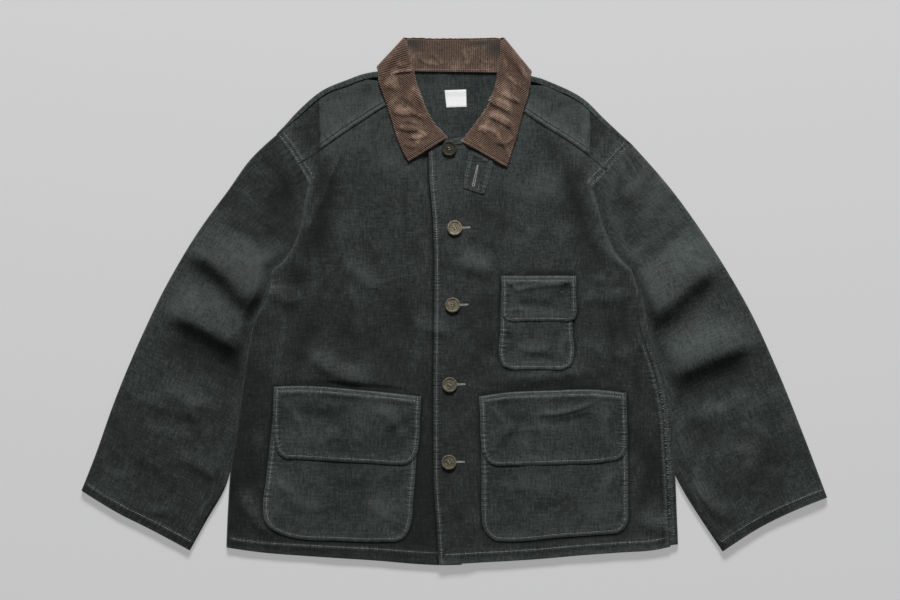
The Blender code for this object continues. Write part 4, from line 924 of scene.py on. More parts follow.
def denim_finish(name, dark, pale, faded, seed):
    """Washed denim: heathered yarn, cloudy wear, a fine twill, rubbed puckers beside the stitching, painted
    shade in its grooves, and the panels' painted light and shade.
    """
    cloth = Finish(name, 0.93, specular=0.18, sheen=0.08)
    place = cloth.add("ShaderNodeUVMap", {"uv_map": "UVMap"})("UV")
    move = (seed, 0.37 * seed, 0.0)
    shifted = cloth.add("ShaderNodeMapping", {}, {"Vector": place, "Location": move})("Vector")
    clouds = cloth.noise(shifted, 9.0, 4.0, 0.6)
    patches = cloth.noise(shifted, 42.0, 3.0, 0.65)
    slubs = cloth.noise(cloth.stretched(shifted, 1.0, 0.14), 420.0, 2.0, 0.65)
    cross = cloth.noise(cloth.stretched(shifted, 0.16, 1.0), 360.0, 2.0, 0.65)
    grain = cloth.noise(shifted, 330.0, 2.0, 0.7)
    heather = slubs * 0.36 + cross * 0.26 + grain * 0.38
    # The ridge mark shifts the tone: paler from wear, and lighter or darker with painted light and shade.
    tone = clouds * 0.3 + patches * 0.2 + heather * 1.1 + cloth.mark("ridge") * 0.15 - 0.3
    level = cloth.ramp(tone, (0.2, 0.0), (0.34, 0.1), (0.47, 0.31), (0.54, 0.55), (0.7, 1.0))
    colour = cloth.blend(level, dark, pale)
    stitch, run = cloth.mark("stitch"), cloth.mark("run")
    rungs = cloth.add("ShaderNodeCombineXYZ", {}, {"X": run * 0.3, "Y": stitch * 0.035, "Z": seed})("Vector")
    ladder = cloth.noise(rungs, 1.0, 2.0, 0.6)
    beside_seam = cloth.between(stitch, 0.5, 1.1, 0.0, 1.0) * cloth.between(stitch, 1.2, 3.6, 1.0, 0.0)
    worn = beside_seam * cloth.between(ladder + heather * 0.35, 0.5, 0.95, 0.0, 0.62)
    colour = cloth.blend(worn, colour, faded)
    # Painted shade: the cloth is darkened in the groove along each row of stitching.
    groove = cloth.between(stitch, 0.0, 1.3, 1.0, 0.0)
    colour = cloth.blend(groove * 0.5, colour, tuple(0.45 * c for c in dark))
    twill = cloth.add("ShaderNodeTexWave", {"wave_type": "BANDS", "bands_direction": "DIAGONAL"},
                      {"Vector": shifted, "Scale": 620.0, "Distortion": 1.2, "Detail": 1.0,
                       "Detail Scale": 2.0})("Fac")
    rumple = cloth.noise(shifted, 42.0, 3.0, 0.5)
    drawn = cloth.between(stitch, 1.0, 10.0, 1.0, 0.0) * ladder
    raised = twill * 0.05 + heather * 0.3 + drawn * 1.7 + rumple * 1.0 - groove * 0.5
    return cloth.shade(Base_Color=colour, Normal=cloth.bump(raised, 0.0011))


def corduroy_finish(name, dark, pale, worn):
    """Cotton corduroy: dark between the wales, partly as painted shade, rubbed pale on their tops, on creases
    and along the edges, and with painted shade from the shade mark.
    """
    cloth = Finish(name, 0.97, specular=0.15, sheen=0.3)
    place = cloth.add("ShaderNodeUVMap", {"uv_map": "UVMap"})("UV")
    clouds = cloth.noise(place, 34.0, 3.0, 0.6)
    tufts = cloth.noise(place, 260.0, 3.0, 0.7)
    pile = cloth.noise(place, 1500.0, 2.0, 0.6)
    # Darker between the wales, partly as painted shade, and paler on their tops.
    top = cloth.mark("wale") + (pile - 0.5) * 0.5 + (tufts - 0.5) * 0.9
    colour = cloth.blend(cloth.ramp(top, (0.12, 0.0), (0.95, 1.0)), dark, pale)
    rubbed = (clouds - 0.5) * 3.1 + cloth.mark("ridge") * 0.6 + cloth.mark("edge") * 0.7 + (tufts - 0.5) * 0.8
    tone_shift = cloth.between(rubbed, 0.0, 1.0, 0.0, 0.8) * cloth.between(top, 0.1, 0.8, 0.35, 1.0)
    colour = cloth.blend(tone_shift, colour, worn)
    # Painted shade where the shade mark is set, on the back band.
    colour = cloth.blend(cloth.mark("shade"), colour, (0.028, 0.027, 0.02))
    return cloth.shade(Base_Color=colour, Normal=cloth.bump(pile * 0.5 + tufts, 0.0006))


def plain_finish(name, colour, roughness, grain, height, darker=None):
    """One colour with fine specks of a darker one, which also stand a little lower."""
    made = Finish(name, roughness, specular=0.25)
    speck = made.noise(made.add("ShaderNodeTexCoord")("Object"), grain, 3.0, 0.6)
    darker = darker or tuple(c * 0.82 for c in colour)
    return made.shade(Base_Color=made.blend(made.ramp(speck, (0.35, 0.0), (0.7, 1.0)), darker, colour),
                      Normal=made.bump(speck, height))


def thread(name, colour, grain=2400.0, darker=None):
    return plain_finish(name, colour, 0.8, grain, 0.0001, darker)


def denim(name, light, seed, cool=0.0):
    """Denim of one panel: how light it is, and a little cooler where it is less worn."""
    tint = (0.94 - cool, 1.1, 1.05 + 0.5 * cool)
    dark, pale, faded = [tuple(light * grey * c for c in tint) for grey in (0.0085, 0.063, 0.13)]
    return denim_finish(name, dark, pale, faded, seed)


# The left pieces are made lighter than the right ones: painted light, as if the light came from the +X side.
FRONT_LOOK = {"right": denim("denim_front", 0.9, 0.0), "left": denim("denim_front_left", 1.0, 2.0)}
SLEEVE_LOOK = {"right": denim("denim_sleeve", 0.92, 4.0), "left": denim("denim_sleeve_left", 1.06, 5.0)}
DENIM_POCKET = denim("denim_pocket", 1.0, 7.0, 0.02)
DENIM_INSIDE = denim("denim_inside", 0.95, 6.0, 0.03)
CORDUROY = corduroy_finish("corduroy", (0.022, 0.0135, 0.01), (0.17, 0.107, 0.076), (0.36, 0.245, 0.18))
THREAD = thread("pale_thread", (0.4, 0.41, 0.385), 170.0, (0.13, 0.14, 0.13))
LABEL = plain_finish("woven_label", (0.96, 0.96, 0.95), 0.75, 1300.0, 0.0001)
TONAL_THREAD = thread("tonal_thread", (0.075, 0.085, 0.082))
NECK_THREAD = thread("neck_thread", (0.26, 0.23, 0.2))
BRIGHT_THREAD = thread("buttonhole_thread", (0.5, 0.49, 0.45))
SEAM_THREAD = thread("seam_thread", (0.2, 0.21, 0.2), 170.0, (0.05, 0.055, 0.052))
BUTTON_SHADES = (0.16, 0.95, 0.72, 0.6, 0.55)       # how light each button is, from the collar down; the first is darkened as painted shadow under the collar


def button_finish(number, light):
    colour, darker = [tuple(light * c for c in tone) for tone in ((0.28, 0.243, 0.162), (0.1, 0.085, 0.055))]
    return plain_finish("olive_button_%d" % number, colour, 0.62, 260.0, 0.00006, darker)


BUTTON_LOOK = [button_finish(number, light) for number, light in enumerate(BUTTON_SHADES)]


# ---------------------------------------------------------------- where the sewing runs
def beside_edge(table, away, start=0.0, end=1.0):
    return beside(Line(table), away, start, end)


SEWING = {
    "sleeve_right": [beside_edge(CUFF_LINE["right"], 12.5, 0.02, 0.98)],
    "sleeve_left": [beside_edge(CUFF_LINE["left"], -12.5, 0.02, 0.98)],
    "yoke_right": [],
    "yoke_left": [],
    "front_right": [beside_edge(HEM_RIGHT, 14.0, 0.01, 0.92)],
    "front_left": [beside_edge(HEM_LEFT, 14.0, 0.03, 0.99), beside_edge(BUTTON_EDGE, -4.6, 0.004, 0.99),
                   beside_edge(SIDE["left"], 14.2, 0.0, 0.73)],
    "back": [beside_edge(SIDE["left"], 6.2, 0.0, 0.72)],
}
# Sewing in the cloth's own tone, and seams that only draw the cloth beside them together.
TONAL = {"yoke_right": [beside_edge(YOKE_SEAM["right"], -6.4, 0.04, 0.76)],
         "yoke_left": [beside_edge(YOKE_SEAM["left"], 6.4, 0.04, 0.76)], "back": []}
DRAWN = {"sleeve_right": [ARMS["right"][0], beside_edge(SLEEVE_IN["right"], -9.0, 0.0, 0.3)],
         "sleeve_left": [ARMS["left"][0], beside_edge(SLEEVE_IN["left"], 9.0, 0.0, 0.3)]}
for name, sign in SIGN.items():
    for away in (2.0, 8.8):
        SEWING["yoke_" + name].append(beside(ARMS[name][0], -sign * away, 0.03, 0.34))
        SEWING["front_" + name].append(beside(ARMS[name][0], -sign * away, 0.35, 0.53))
    TONAL["back"].append(beside(SHOULDER_LINE[name], sign * 6.6, 0.06, 0.9))


def sewing_marks(plan, lines, ridge=0.0):
    """Distance from the nearest stitching and the distance along it, for every point of a piece."""
    x, y = plan[..., 0], plan[..., 1]
    best, run = np.full(x.shape, 30.0), np.zeros(x.shape)
    for number, line in enumerate(lines):
        here = close_to(line, x, y, 14.0)
        away, place = offset_from(line, x[here], y[here])
        closer = np.abs(away) < best[here]
        best[here] = np.where(closer, np.abs(away), best[here])
        run[here] = np.where(closer, place + 500 * number, run[here])
    return {"stitch": best, "run": run, "ridge": ridge}


# ---------------------------------------------------------------- building the panels
pieces = {}


def upper_face(name, grid):
    """1 on the face that shows from above, 0 round the folds, below, and where another piece covers it."""
    x, y, z = grid[..., 0], grid[..., 1], grid[..., 2]
    if name.startswith("sleeve"):
        side = name.split("_")[1]
        return ease(z - sleeve_top(side, x, y), -1.6, -0.3) * ease(-inward(side, x, y), 3, 14)
    if name == "back":
        return ease(y, 226, 244) * (1 - ease(y, 306, 316)) * (1 - ease(np.abs(x), 60, 76)) * (z > 1.0)
    height = closure_top if name == "front_left" else front_top
    return ease(z - height(x, y), -1.6, -0.3)


# The crease that is pressed into each shoulder, above the fold over the sleeve; it is only painted, with
# painted light on its inner side and painted shade on its outer side.
PRESSED = {"right": Line([(-189, 292), (-188, 250), (-187, 214)]),
           "left": Line([(190, 280), (190, 240), (189, 206)])}


def border(sides, away, closed=False):
    """Line inside the border of a patch, from its top left corner down, across and up again."""
    last = [sides["top"][::-1]] if closed else []
    line = joined(sides["left"][::-1], sides["bottom"], sides["right"], *last)
    smooth = line.at(np.linspace(0, 1, int(line.length / PATH_STEP)))
    for _ in range(2):
        smooth[1:-1] = (smooth[:-2] + 2 * smooth[1:-1] + smooth[2:]) / 4
    return beside(Path(smooth), away)


# Lines round each pocket and flap, beside which the panels get a painted shadow.
BESIDE_PATCHES = [border(sides, 0.0, True) for sides in (*POCKETS.values(), *FLAPS.values())]


def wear_and_painted_shade(name, grid, small):
    """How much paler or darker a panel's denim is: wear on ridges and folded edges, and painted light and
    shade.
    """
    x, y = grid[..., 0], grid[..., 1]
    if name.startswith("sleeve"):
        table = SLEEVE_FOLDS[name.split("_")[1]]
        # Fold ridges and rumples paler from wear; troughs, and the side of each fold that faces the hem away
        # from the light, darker as painted shade.
        falling = (folds(table, x, y + 6) - folds(table, x, y - 6)) / 12.0
        tone_shift = np.clip(folds(table, x, y) / 8.0, -0.9, 0.5) - 1.5 * np.clip(falling, -0.12, 0.8)
        tone_shift = tone_shift - 0.7 * ease(y, 40, 130) * (name == "sleeve_right")
        # Lighter toward the collar and darker toward the hem: a painted falloff of the light.
        return tone_shift + 0.45 * small + 0.75 * ease(y, -330, 260) - 0.45
    # Fold ridges and rumples paler from wear, troughs darker as painted shade, and a painted falloff of the
    # light toward the hem.
    tone_shift = np.clip(0.75 * folds(BODY_FOLDS, x, y) / 2.6 + 0.5 * small, -1.2, 1.0)
    tone_shift = tone_shift + 0.85 * ease(y, -60, 280) - 0.5
    for side, sign in SIGN.items():
        here, past = np.sign(x) == sign, inward(side, x, y)
        tone_shift = tone_shift + here * 0.9 * np.exp(-(past / 5.0)**2) * ease(y, -40, 60) * (1 - ease(y, 166, 190))
        # Painted shade in the hollow inside the fold over each sleeve.
        hollow = np.exp(-((past - 26) / 16.0)**2) * ease(y, 30, 90) * (1 - ease(y, 190, 240))
        tone_shift = tone_shift - here * 0.8 * hollow
        tone_shift = tone_shift - here * 0.35 * (1 - ease(past, 4, 44)) * (1 - ease(y, -60, 10))
        # Painted light on the inner side of the pressed shoulder crease, painted shade on its outer side.
        across = offset_from(PRESSED[side], x, y)[0] * -sign
        level = ease(y, 196, 214) * (1 - ease(y, 276, 300)) * here
        tone_shift = tone_shift + level * np.where(across > 0, 0.8, -0.9) * np.exp(-np.abs(across) / 13.0)
    # Painted shadow of the collar on the lower part of the back that shows.
    if name == "back":
        tone_shift = tone_shift - 0.7 * (1 - ease(y, 236, 290))
    if not name.startswith("front"):
        return tone_shift + 0.45 * (1 - ease(np.abs(x), 150, 188))
    # Painted shadow in a thin line round each pocket and flap.
    for line in BESIDE_PATCHES:
        here = close_to(line, x, y, 6.0)
        tone_shift[here] -= 1.9 * np.exp(-(offset_from(line, x[here], y[here])[0] / 2.3)**2)
    hem = np.abs(offset_from(Line(HEM_RIGHT if name == "front_right" else HEM_LEFT), x, y)[0])
    tone_shift = tone_shift + 0.8 * (1 - ease(hem, 4, 13))
    if name == "front_right":
        tone_shift = tone_shift - 0.7 * (1 - ease(y, -270, -150))
        # Painted shadow on the right front beside the edge of the left front that laps over it.
        tone_shift = tone_shift - 2.0 * np.exp(-(offset_from(BUTTON_LINE, x, y)[0] / 2.4)**2)
    return tone_shift


def make_panel(name, made, look):
    """A panel with its small creases and its drawn seams."""
    grid, flat = made
    kind = name if name in FINE_FOLDS else "body"
    x, y = grid[..., 0], grid[..., 1]
    shown = upper_face(name, grid)
    lines = SEWING[name] + TONAL.get(name, [])
    small = rumples(kind, x, y)
    # Wear and painted light and shade on the face that shows, for the denim's tone.
    ridge = wear_and_painted_shade(name, grid, small) * shown
    drawn = pucker(lines, x, y) + pucker(DRAWN.get(name, []), x, y, 10.0, 0.9, 15.0)
    z = grid[..., 2] + shown * (small + drawn)
    if name.startswith("yoke"):
        seam = np.abs(offset_from(Line(YOKE_SEAM[name.split("_")[1]]), x, y)[0])
        z = z + 0.9 * np.exp(-((seam - 2.2) / 1.7)**2) * (1 - ease(np.abs(x), 184, 194))
    grid = stack(grid[..., :2], z)
    pieces[name] = cloth_sheet(name, grid, flat, PANEL_WALL, look, sewing_marks(grid, lines, ridge))
    finish_piece(pieces[name], name)
    lay_cloth(grid)


for name in SIGN:
    make_panel("sleeve_" + name, make_sleeve(name), SLEEVE_LOOK[name])
make_panel("back", make_back(), DENIM_INSIDE)
for name in SIGN:
    make_panel("yoke_" + name, make_yoke(name), FRONT_LOOK[name])
    make_panel("front_" + name, make_front(name), FRONT_LOOK[name])


# ---------------------------------------------------------------- pockets, flaps, tab and label
def patch(sides, across_count, along_count):
    """Plan grid of a four-sided patch, from its bottom up."""
    bottom, top, left, right = [Line(sides[side]) for side in ("bottom", "top", "left", "right")]
    u = np.linspace(0, 1, across_count + 1)
    rows = []
    for v in np.linspace(0, 1, along_count + 1):
        rows.append(row_between(bottom, top, left.at(v), right.at(v), v).at(u))
    return np.array(rows)


def rim_distance(plan):
    rim = np.concatenate([plan[0], plan[1:, -1], plan[-1, ::-1][1:], plan[::-1, 0][1:]])
    return np.abs(offset_from(Path(rim), plan[..., 0], plan[..., 1])[0])


def lay_on(name, plan, read, look, clear=0.2, wall=0.95, extra=0.0, lines=()):
    """A patch of cloth on what is below it, creased and drawn in beside its own stitching."""
    z, ridge, rim = heights(read, plan) + clear + wall + extra, 0.0, rim_distance(plan)
    if lines:
        x, y = plan[..., 0], plan[..., 1]
        drawn = pucker(lines, x, y, 7.0, 0.9, 8.0) * ease(rim, 0.3, 3.0)
        creased = PATCH_RUMPLE * rumples("patches", x, y) * ease(rim, 1.5, 12.0)
        z = z + drawn + creased
        # Paler at the rim and on crease tops from wear, darker in crease hollows as painted shade.
        ridge = 0.55 * np.exp(-(rim / 3.4)**2) + 0.5 * creased
    grid = stack(plan, z - 0.3 * np.exp(-(rim / 0.6)**2))
    (TONAL if name == "throat_tab" else SEWING)[name] = list(lines)
    pieces[name] = cloth_sheet(name, grid, plan, wall, look, sewing_marks(plan, lines, ridge))
    finish_piece(pieces[name], name)
    lay_cloth(grid)


def make_pocket(pocket, flap, panel, columns, pocket_rows, flap_rows, inset):
    """A patch pocket and its flap, which stands out a little toward its free edge."""
    read = face_reader(pieces[panel])
    sides = POCKETS[pocket]
    lay_on(pocket, patch(sides, columns, pocket_rows), read, DENIM_POCKET,
           lines=[border(sides, inset)])
    sides = FLAPS[flap]
    plan = patch(sides, columns, flap_rows)
    drop = (1 - np.linspace(0, 1, flap_rows + 1)) * (plan[-1, :, 1].mean() - plan[0, :, 1].mean())
    over = 2.1 * ease(drop, 0.5, 12) - 0.8
    lines = [border(sides, inset), beside_edge(sides["top"], -1.6, 0.01, 0.99),
             beside_edge(sides["top"], -6.6, 0.02, 0.98)]
    lay_on(flap, plan, read, DENIM_POCKET, extra=over[:, None], lines=lines)


make_pocket("chest_pocket", "chest_flap", "front_left", 56, 60, 36, 4.2)
make_pocket("lower_pocket_right", "lower_flap_right", "front_right", 104, 88, 50, 5.0)
make_pocket("lower_pocket_left", "lower_flap_left", "front_left", 104, 88, 50, 5.0)
TAB = {
    "top": [(23, 213), (56, 196)],
    "bottom": [(12.5, 158), (42, 148.5)],
    "left": [(12.5, 158), (17, 184), (23, 213)],
    "right": [(42, 148.5), (49, 170), (56, 196)]}
LABEL_SIDES = {
    "top": [(-13, 295), (17, 296)],
    "bottom": [(-10.5, 271), (17.5, 272)],
    "left": [(-10.5, 271), (-13, 295)],
    "right": [(17.5, 272), (17, 296)]}
lay_on("throat_tab", patch(TAB, 16, 26), face_reader(pieces["front_left"]), DENIM_POCKET,
       lines=[border(TAB, 2.6, True)])
lay_on("neck_label", patch(LABEL_SIDES, 18, 16), face_reader(pieces["back"]), LABEL, clear=0.0,
       wall=0.5)
# The neck edge of the fronts between the two ends of the collar.
NECK_EDGE = {
    "top": [(-12, 224), (2, 227.5), (18, 230)],
    "bottom": [(-12, 217), (2, 219), (18, 221)],
    "left": [(-12, 217), (-12, 224)],
    "right": [(18, 221), (18, 230)]}
lay_on("neck_edge", patch(NECK_EDGE, 24, 8), face_reader(pieces["front_left"], pieces["back"]), DENIM_INSIDE,
       clear=0.0, wall=0.8, lines=[beside_edge(NECK_EDGE["bottom"], 1.6, 0.02, 0.98)])

# ---------------------------------------------------------------- collar
# The stand and the fall meet at the roll line.  Both turn forward at the shoulders along their own slanted
# folds.  There is one row for each section, from the middle of the back round to the front edge of a leaf.
# Columns: neck seam x, y; roll line x, y; height of the stand; height of the fall at the roll;
# outer edge x, y; height of the outer edge under the neck, or 0 where it lies on what is below it.
COLLAR = {
    "right": [(-34, 321.2, -34, 367, 3.35, 0.95, -34, 318.5, 0.95),
        (-58, 321.6, -56, 368, 3.35, 0.95, -60, 318.5, 0.95),
        (-74, 322.0, -65, 367.5, 3.35, 0.95, -96, 327.5, 0.95),
        (-81.5, 321.5, -70, 368, 4.55, 4.55, -108, 327.5, 4.9),
        (-81, 316, -66, 361, 5.9, 8.7, -106, 320.0, 8.8), (-85, 312, -63.5, 346, 5.8, 8.4, -106, 309, 0),
        (-86, 303, -57, 322, 5.8, 8.3, -98, 284, 0), (-78, 277, -48, 288, 4.7, 7.2, -88, 253, 0),
        (-66, 254, -36, 263, 3.6, 6.4, -80, 228, 0), (-55, 240.5, -25, 245, 3.7, 6.6, -73, 210, 0),
        (-39, 231, -14, 234, 4.2, 9.4, -67, 199, 0), (-26, 227, -9, 227.5, 4.6, 10.6, -63.5, 194, 0)],
    "left": [(34, 320.3, 34, 367, 3.35, 0.95, 34, 318.5, 0.95),
        (58, 320.0, 56, 368, 3.35, 0.95, 60, 318.5, 0.95),
        (74, 320.2, 65, 367.5, 3.35, 0.95, 95.5, 324, 0.95),
        (81.5, 320, 70, 368, 4.55, 4.55, 108.5, 321.0, 4.9), (81, 314, 66, 361, 5.9, 8.7, 107, 313.5, 8.8),
        (85, 309, 65, 344, 5.8, 8.4, 107, 302, 0), (86.5, 302, 61.5, 323, 5.8, 8.3, 103.5, 285, 0),
        (84, 288, 59, 305, 5.2, 7.7, 98, 267, 0), (76.5, 267, 52, 281, 4.5, 7.0, 93, 247.5, 0),
        (66.5, 252.5, 42, 265, 3.6, 6.1, 88, 228, 0), (49.5, 238, 29.5, 248, 3.6, 6.1, 81, 208, 0),
        (33, 228, 17, 231, 3.8, 6.6, 77, 194.5, 0), (20, 224, 9, 223, 4.2, 7.0, 74.5, 186, 0)]}
STAND_STEPS = (0.0, 0.33, 0.66, 1.0)
FALL_STEPS = (0.12, 0.32, 0.54, 0.77, 1.0)


def highest(under, x, y, spread_to):
    """Height of the highest cloth at a place and at four places round it."""
    around = ((0, 0), (spread_to, 0), (-spread_to, 0), (0, spread_to), (0, -spread_to))
    found = [under(x + dx, y + dy)[0] for dx, dy in around]
    return max([z for z in found if z is not None] or [0])


def collar_section(row, part, under):
    """Points on the middle surface of the stand or of the fall, and the ways across the cloth there."""
    nx, ny, rx, ry, high, fall, ox, oy, low = row
    neck, roll, edge = np.array([nx, ny]), np.array([rx, ry]), np.array([ox, oy])
    to_neck = (neck - roll) / np.linalg.norm(neck - roll)
    to_edge = (edge - roll) / np.linalg.norm(edge - roll)
    half = COLLAR_WALL / 2
    slanted = high == fall
    if slanted:
        within = np.array([-np.sign(rx) * abs(to_edge[1]), -abs(to_edge[0]), 0.0])
    else:
        within = np.array([0, 0, 1.0 if high > fall else -1.0])
    points, ways = [], []
    if part == "stand":
        end = roll + to_neck * (7.0 if slanted else 0.8)
        for f in STAND_STEPS:
            p = neck + (end - neck) * f
            points.append((*p, max(high, (under(*p)[0] or 0) + LAYER + half)))
            ways.append(-within)
        return points, ways
    middle = (high + fall) / 2
    out = np.array([*to_edge, 0.0])
    back_of_roll = roll + to_neck * (0.5 if slanted else 0.2)
    points.append((*back_of_roll, middle + (0.7 if slanted else 0.2) * (high - middle)))
    ways.append(out * 0.75 - within * 0.66)
    points.append((*roll, middle))
    ways.append(out)
    start = roll + to_edge * 1.7
    points.append((*start, fall))
    ways.append(out * 0.5 + within * 0.87)
    for f in FALL_STEPS:
        p = start + (edge - start) * f
        if low:
            z = fall + (low - fall) * f
        else:
            floor = highest(under, *p, 8.0) + LAYER + half + 0.5
            z = max(floor, fall + (floor - fall) * min(1.0, f * 1.6))
        points.append((*p, z))
        ways.append(within)
    return points, ways


WALE = 2.4               # from one wale of the corduroy to the next, mm
LEAF_START = 0.72        # share of each half of the collar, from its front, that shows as a leaf
LEAF_ROWS, HIDDEN_ROWS = 300, 40
STAND_STEP = 0.55        # from one row of the stand to the next, mm
SHEET_WALL = 1.3         # wall of the collar's cloth in the scene, mm
PLEAT = Line([(-110, 311), (-89, 316), (-56, 321.5), (-40, 324)])
# Soft patches of painted shade on the back band, where it curves up.  Columns: x, y, half width along x, half
# width along y, strength.
PAINTED_SHADE_PATCHES = ((-57, 360, 14, 10, 0.9), (36, 362, 18, 8, 0.75), (60, 354, 14, 12, 0.92), (-20, 352, 9, 12, 0.35),
    (-48, 338, 12, 6, 0.4), (12, 336, 16, 5, 0.3))


def wale_height(x, y, part):
    """Height from 0 to 1 of the corduroy's wales at a place on the flat-lying collar."""
    waver = np.empty(x.shape)
    for place in np.ndindex(x.shape):
        waver[place] = noise.noise(Vector((x[place] / 16.0, y[place] / 16.0, 7.0)))
    if part == "stand":
        phase = x / WALE
    else:
        above = ease(np.sign(x) * offset_from(PLEAT, x, y)[0] * -1.0, -1.0, 1.0) * (x < 0)
        turn = np.radians(37 - 22 * above)
        phase = ((y - 318) * np.cos(turn) - (np.abs(x) - 92) * np.sin(turn)) / WALE
    return 0.5 + 0.5 * np.cos(2 * math.pi * (phase + 0.4 * waver))


def collar_places(side, centre, length):
    """Where the collar's rows are: close together where a leaf shows, wider apart on its hidden part."""
    if not side:
        return np.linspace(0.0, 1.0, int(length / STAND_STEP))
    front = 0.0 if side == "right" else 1.0
    leaf = LEAF_START * centre if side == "right" else 1 - LEAF_START * (1 - centre)
    hidden = np.linspace(min(leaf, centre), max(leaf, centre), HIDDEN_ROWS)
    shown = np.linspace(min(leaf, front), max(leaf, front), LEAF_ROWS)
    return np.unique(np.concatenate([shown, hidden]).round(7))


def collar_surface(dense, columns):
    """Middle surface of the collar from its rows, and the way across the cloth at every point."""
    out, way = [], []
    for row in dense:
        line = Line(np.concatenate(list(row.reshape(2, -1, 3)), 1), 8)
        line.measure(3)
        both = line.at(np.linspace(0, 1, columns))
        out.append(both[:, :3])
        way.append(both[:, 3:])
    way = np.array(way)
    return np.array(out), way / np.linalg.norm(way, axis=2)[..., None]


def make_collar_sheet(part, side, places, dense, length):
    """The stand or one leaf of the fall, with its wales, creases, sunk stitching and patches of painted
    shade.
    """
    out, way = collar_surface(dense, 118 if part == "fall" else 40)
    x, y = out[..., 0], out[..., 1]
    steps = np.linalg.norm(np.diff(out, axis=1), axis=2)
    outer = steps.cumsum(axis=1)
    outer = np.concatenate([outer[:, -1:], outer[:, -1:] - outer], 1)
    front = np.full(x.shape, 99.0)
    if side:
        front = np.abs(offset_from(Path(out[0 if side == "right" else -1][:, :2]), x, y)[0])
    rim = np.minimum(outer, front)
    wale = wale_height(x, y, part) * ease(rim, 0.3, 1.4)
    lumps = np.clip(rumples("collar", x, y), -0.4, 2.2)
    lumps = lumps * ease(rim, 0.5, 5.0) - 0.55 * np.exp(-(rim / 0.7)**2)
    lumps = lumps - 0.5 * np.exp(-((front - 4.4) / 0.9)**2)
    if part == "fall":
        lumps = lumps - 0.2 * np.exp(-((outer - 4.2) / 0.9)**2)
    painted_shade = np.zeros(x.shape)
    for sx, sy, wide, tall, strength in PAINTED_SHADE_PATCHES if part == "stand" else ():
        painted_shade = np.maximum(painted_shade, strength * np.exp(-((x - sx) / wide)**2 - ((y - sy) / tall)**2))
    marks = {"wale": wale, "shade": painted_shade, "ridge": np.clip(lumps / 1.6, -0.3, 1.0),
             "edge": np.exp(-(rim / 1.5)**2)}
    grid = out - way * (COLLAR_WALL / 2 - 0.5 + 0.8 * wale + 1.15 * lumps)[..., None]
    grid[..., 2] = np.maximum(grid[..., 2], 0.05)
    reach = np.cumsum(np.concatenate([np.zeros((len(out), 1)), steps], 1), axis=1)
    flat = np.stack([reach, places[:, None] * length + 0 * reach], -1)
    name = "collar_" + part + ("_" + side if side else "")
    # This grid faces down, so with a negative thickness its points stay on the side that shows.
    pieces[name] = cloth_sheet(name, grid, flat, -SHEET_WALL, CORDUROY, marks)
    finish_piece(pieces[name], "collar_" + part)
    lay_cloth(grid)


def make_collar():
    middle = (0, 320.8, 0, 367, 3.35, 0.95, 0, 318.5, 0.95)
    fronts = ["yoke_right", "yoke_left", "front_right", "front_left", "back", "throat_tab", "collar_stand"]
    rows = [*COLLAR["right"][::-1], middle, *COLLAR["left"]]
    for part, below, sides in (("stand", ["back"], [""]), ("fall", fronts, ["right", "left"])):
        read = face_reader(*[pieces[name] for name in below])
        sections = [collar_section(row, part, read) for row in rows]
        mid, ways = [np.array(values) for values in zip(*sections)]
        ways /= np.linalg.norm(ways, axis=2)[..., None]
        count = len(rows)
        along = Line(np.concatenate([mid.reshape(count, -1), ways.reshape(count, -1) * 6.0], 1), 10)
        # The two sheets of the fall meet at the first section left of the middle.
        centre = along.marks[10 * (len(COLLAR["right"]) + 1)] / along.length
        length = np.linalg.norm(np.diff(mid[:, -1], axis=0), axis=1).sum()
        for side in sides:
            places = collar_places(side, centre, length)
            make_collar_sheet(part, side, places, along.at(places), length)


make_collar()


# ---------------------------------------------------------------- stitching
def model_stitch():
    """One stitch, 2 long from -1 to 1 on X and about 1 across, as a rounded bead of thread."""
    clear_selection()
    bpy.ops.mesh.primitive_cylinder_add(vertices=6, radius=1.0, depth=2.0, end_fill_type="TRIFAN",
                                        rotation=(0, math.pi / 2, 0))
    bead = bpy.context.active_object
    bpy.ops.object.transform_apply(location=False, rotation=True, scale=False)
    bpy.ops.object.mode_set(mode="EDIT")
    for cut in (-0.5, 0.5):
        bpy.ops.mesh.select_all(action="SELECT")
        bpy.ops.mesh.bisect(plane_co=(cut, 0, 0), plane_no=(1, 0, 0))
    bpy.ops.object.mode_set(mode="OBJECT")
    points = np.array([v.co[:] for v in bead.data.vertices])
    faces = [tuple(p.vertices) for p in bead.data.polygons]
    bpy.data.objects.remove(bead, do_unlink=True)
    return points, faces


BEAD_POINTS, BEAD_FACES = model_stitch()


def add_piece(name, mesh, look):
    """Puts a finished mesh in the scene as a piece of its own."""
    mesh.materials.clear()
    mesh.materials.append(look)
    piece = bpy.data.objects.new(name, mesh)
    bpy.context.scene.collection.objects.link(piece)
    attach(piece, "root")
    pieces[name] = piece
    return piece


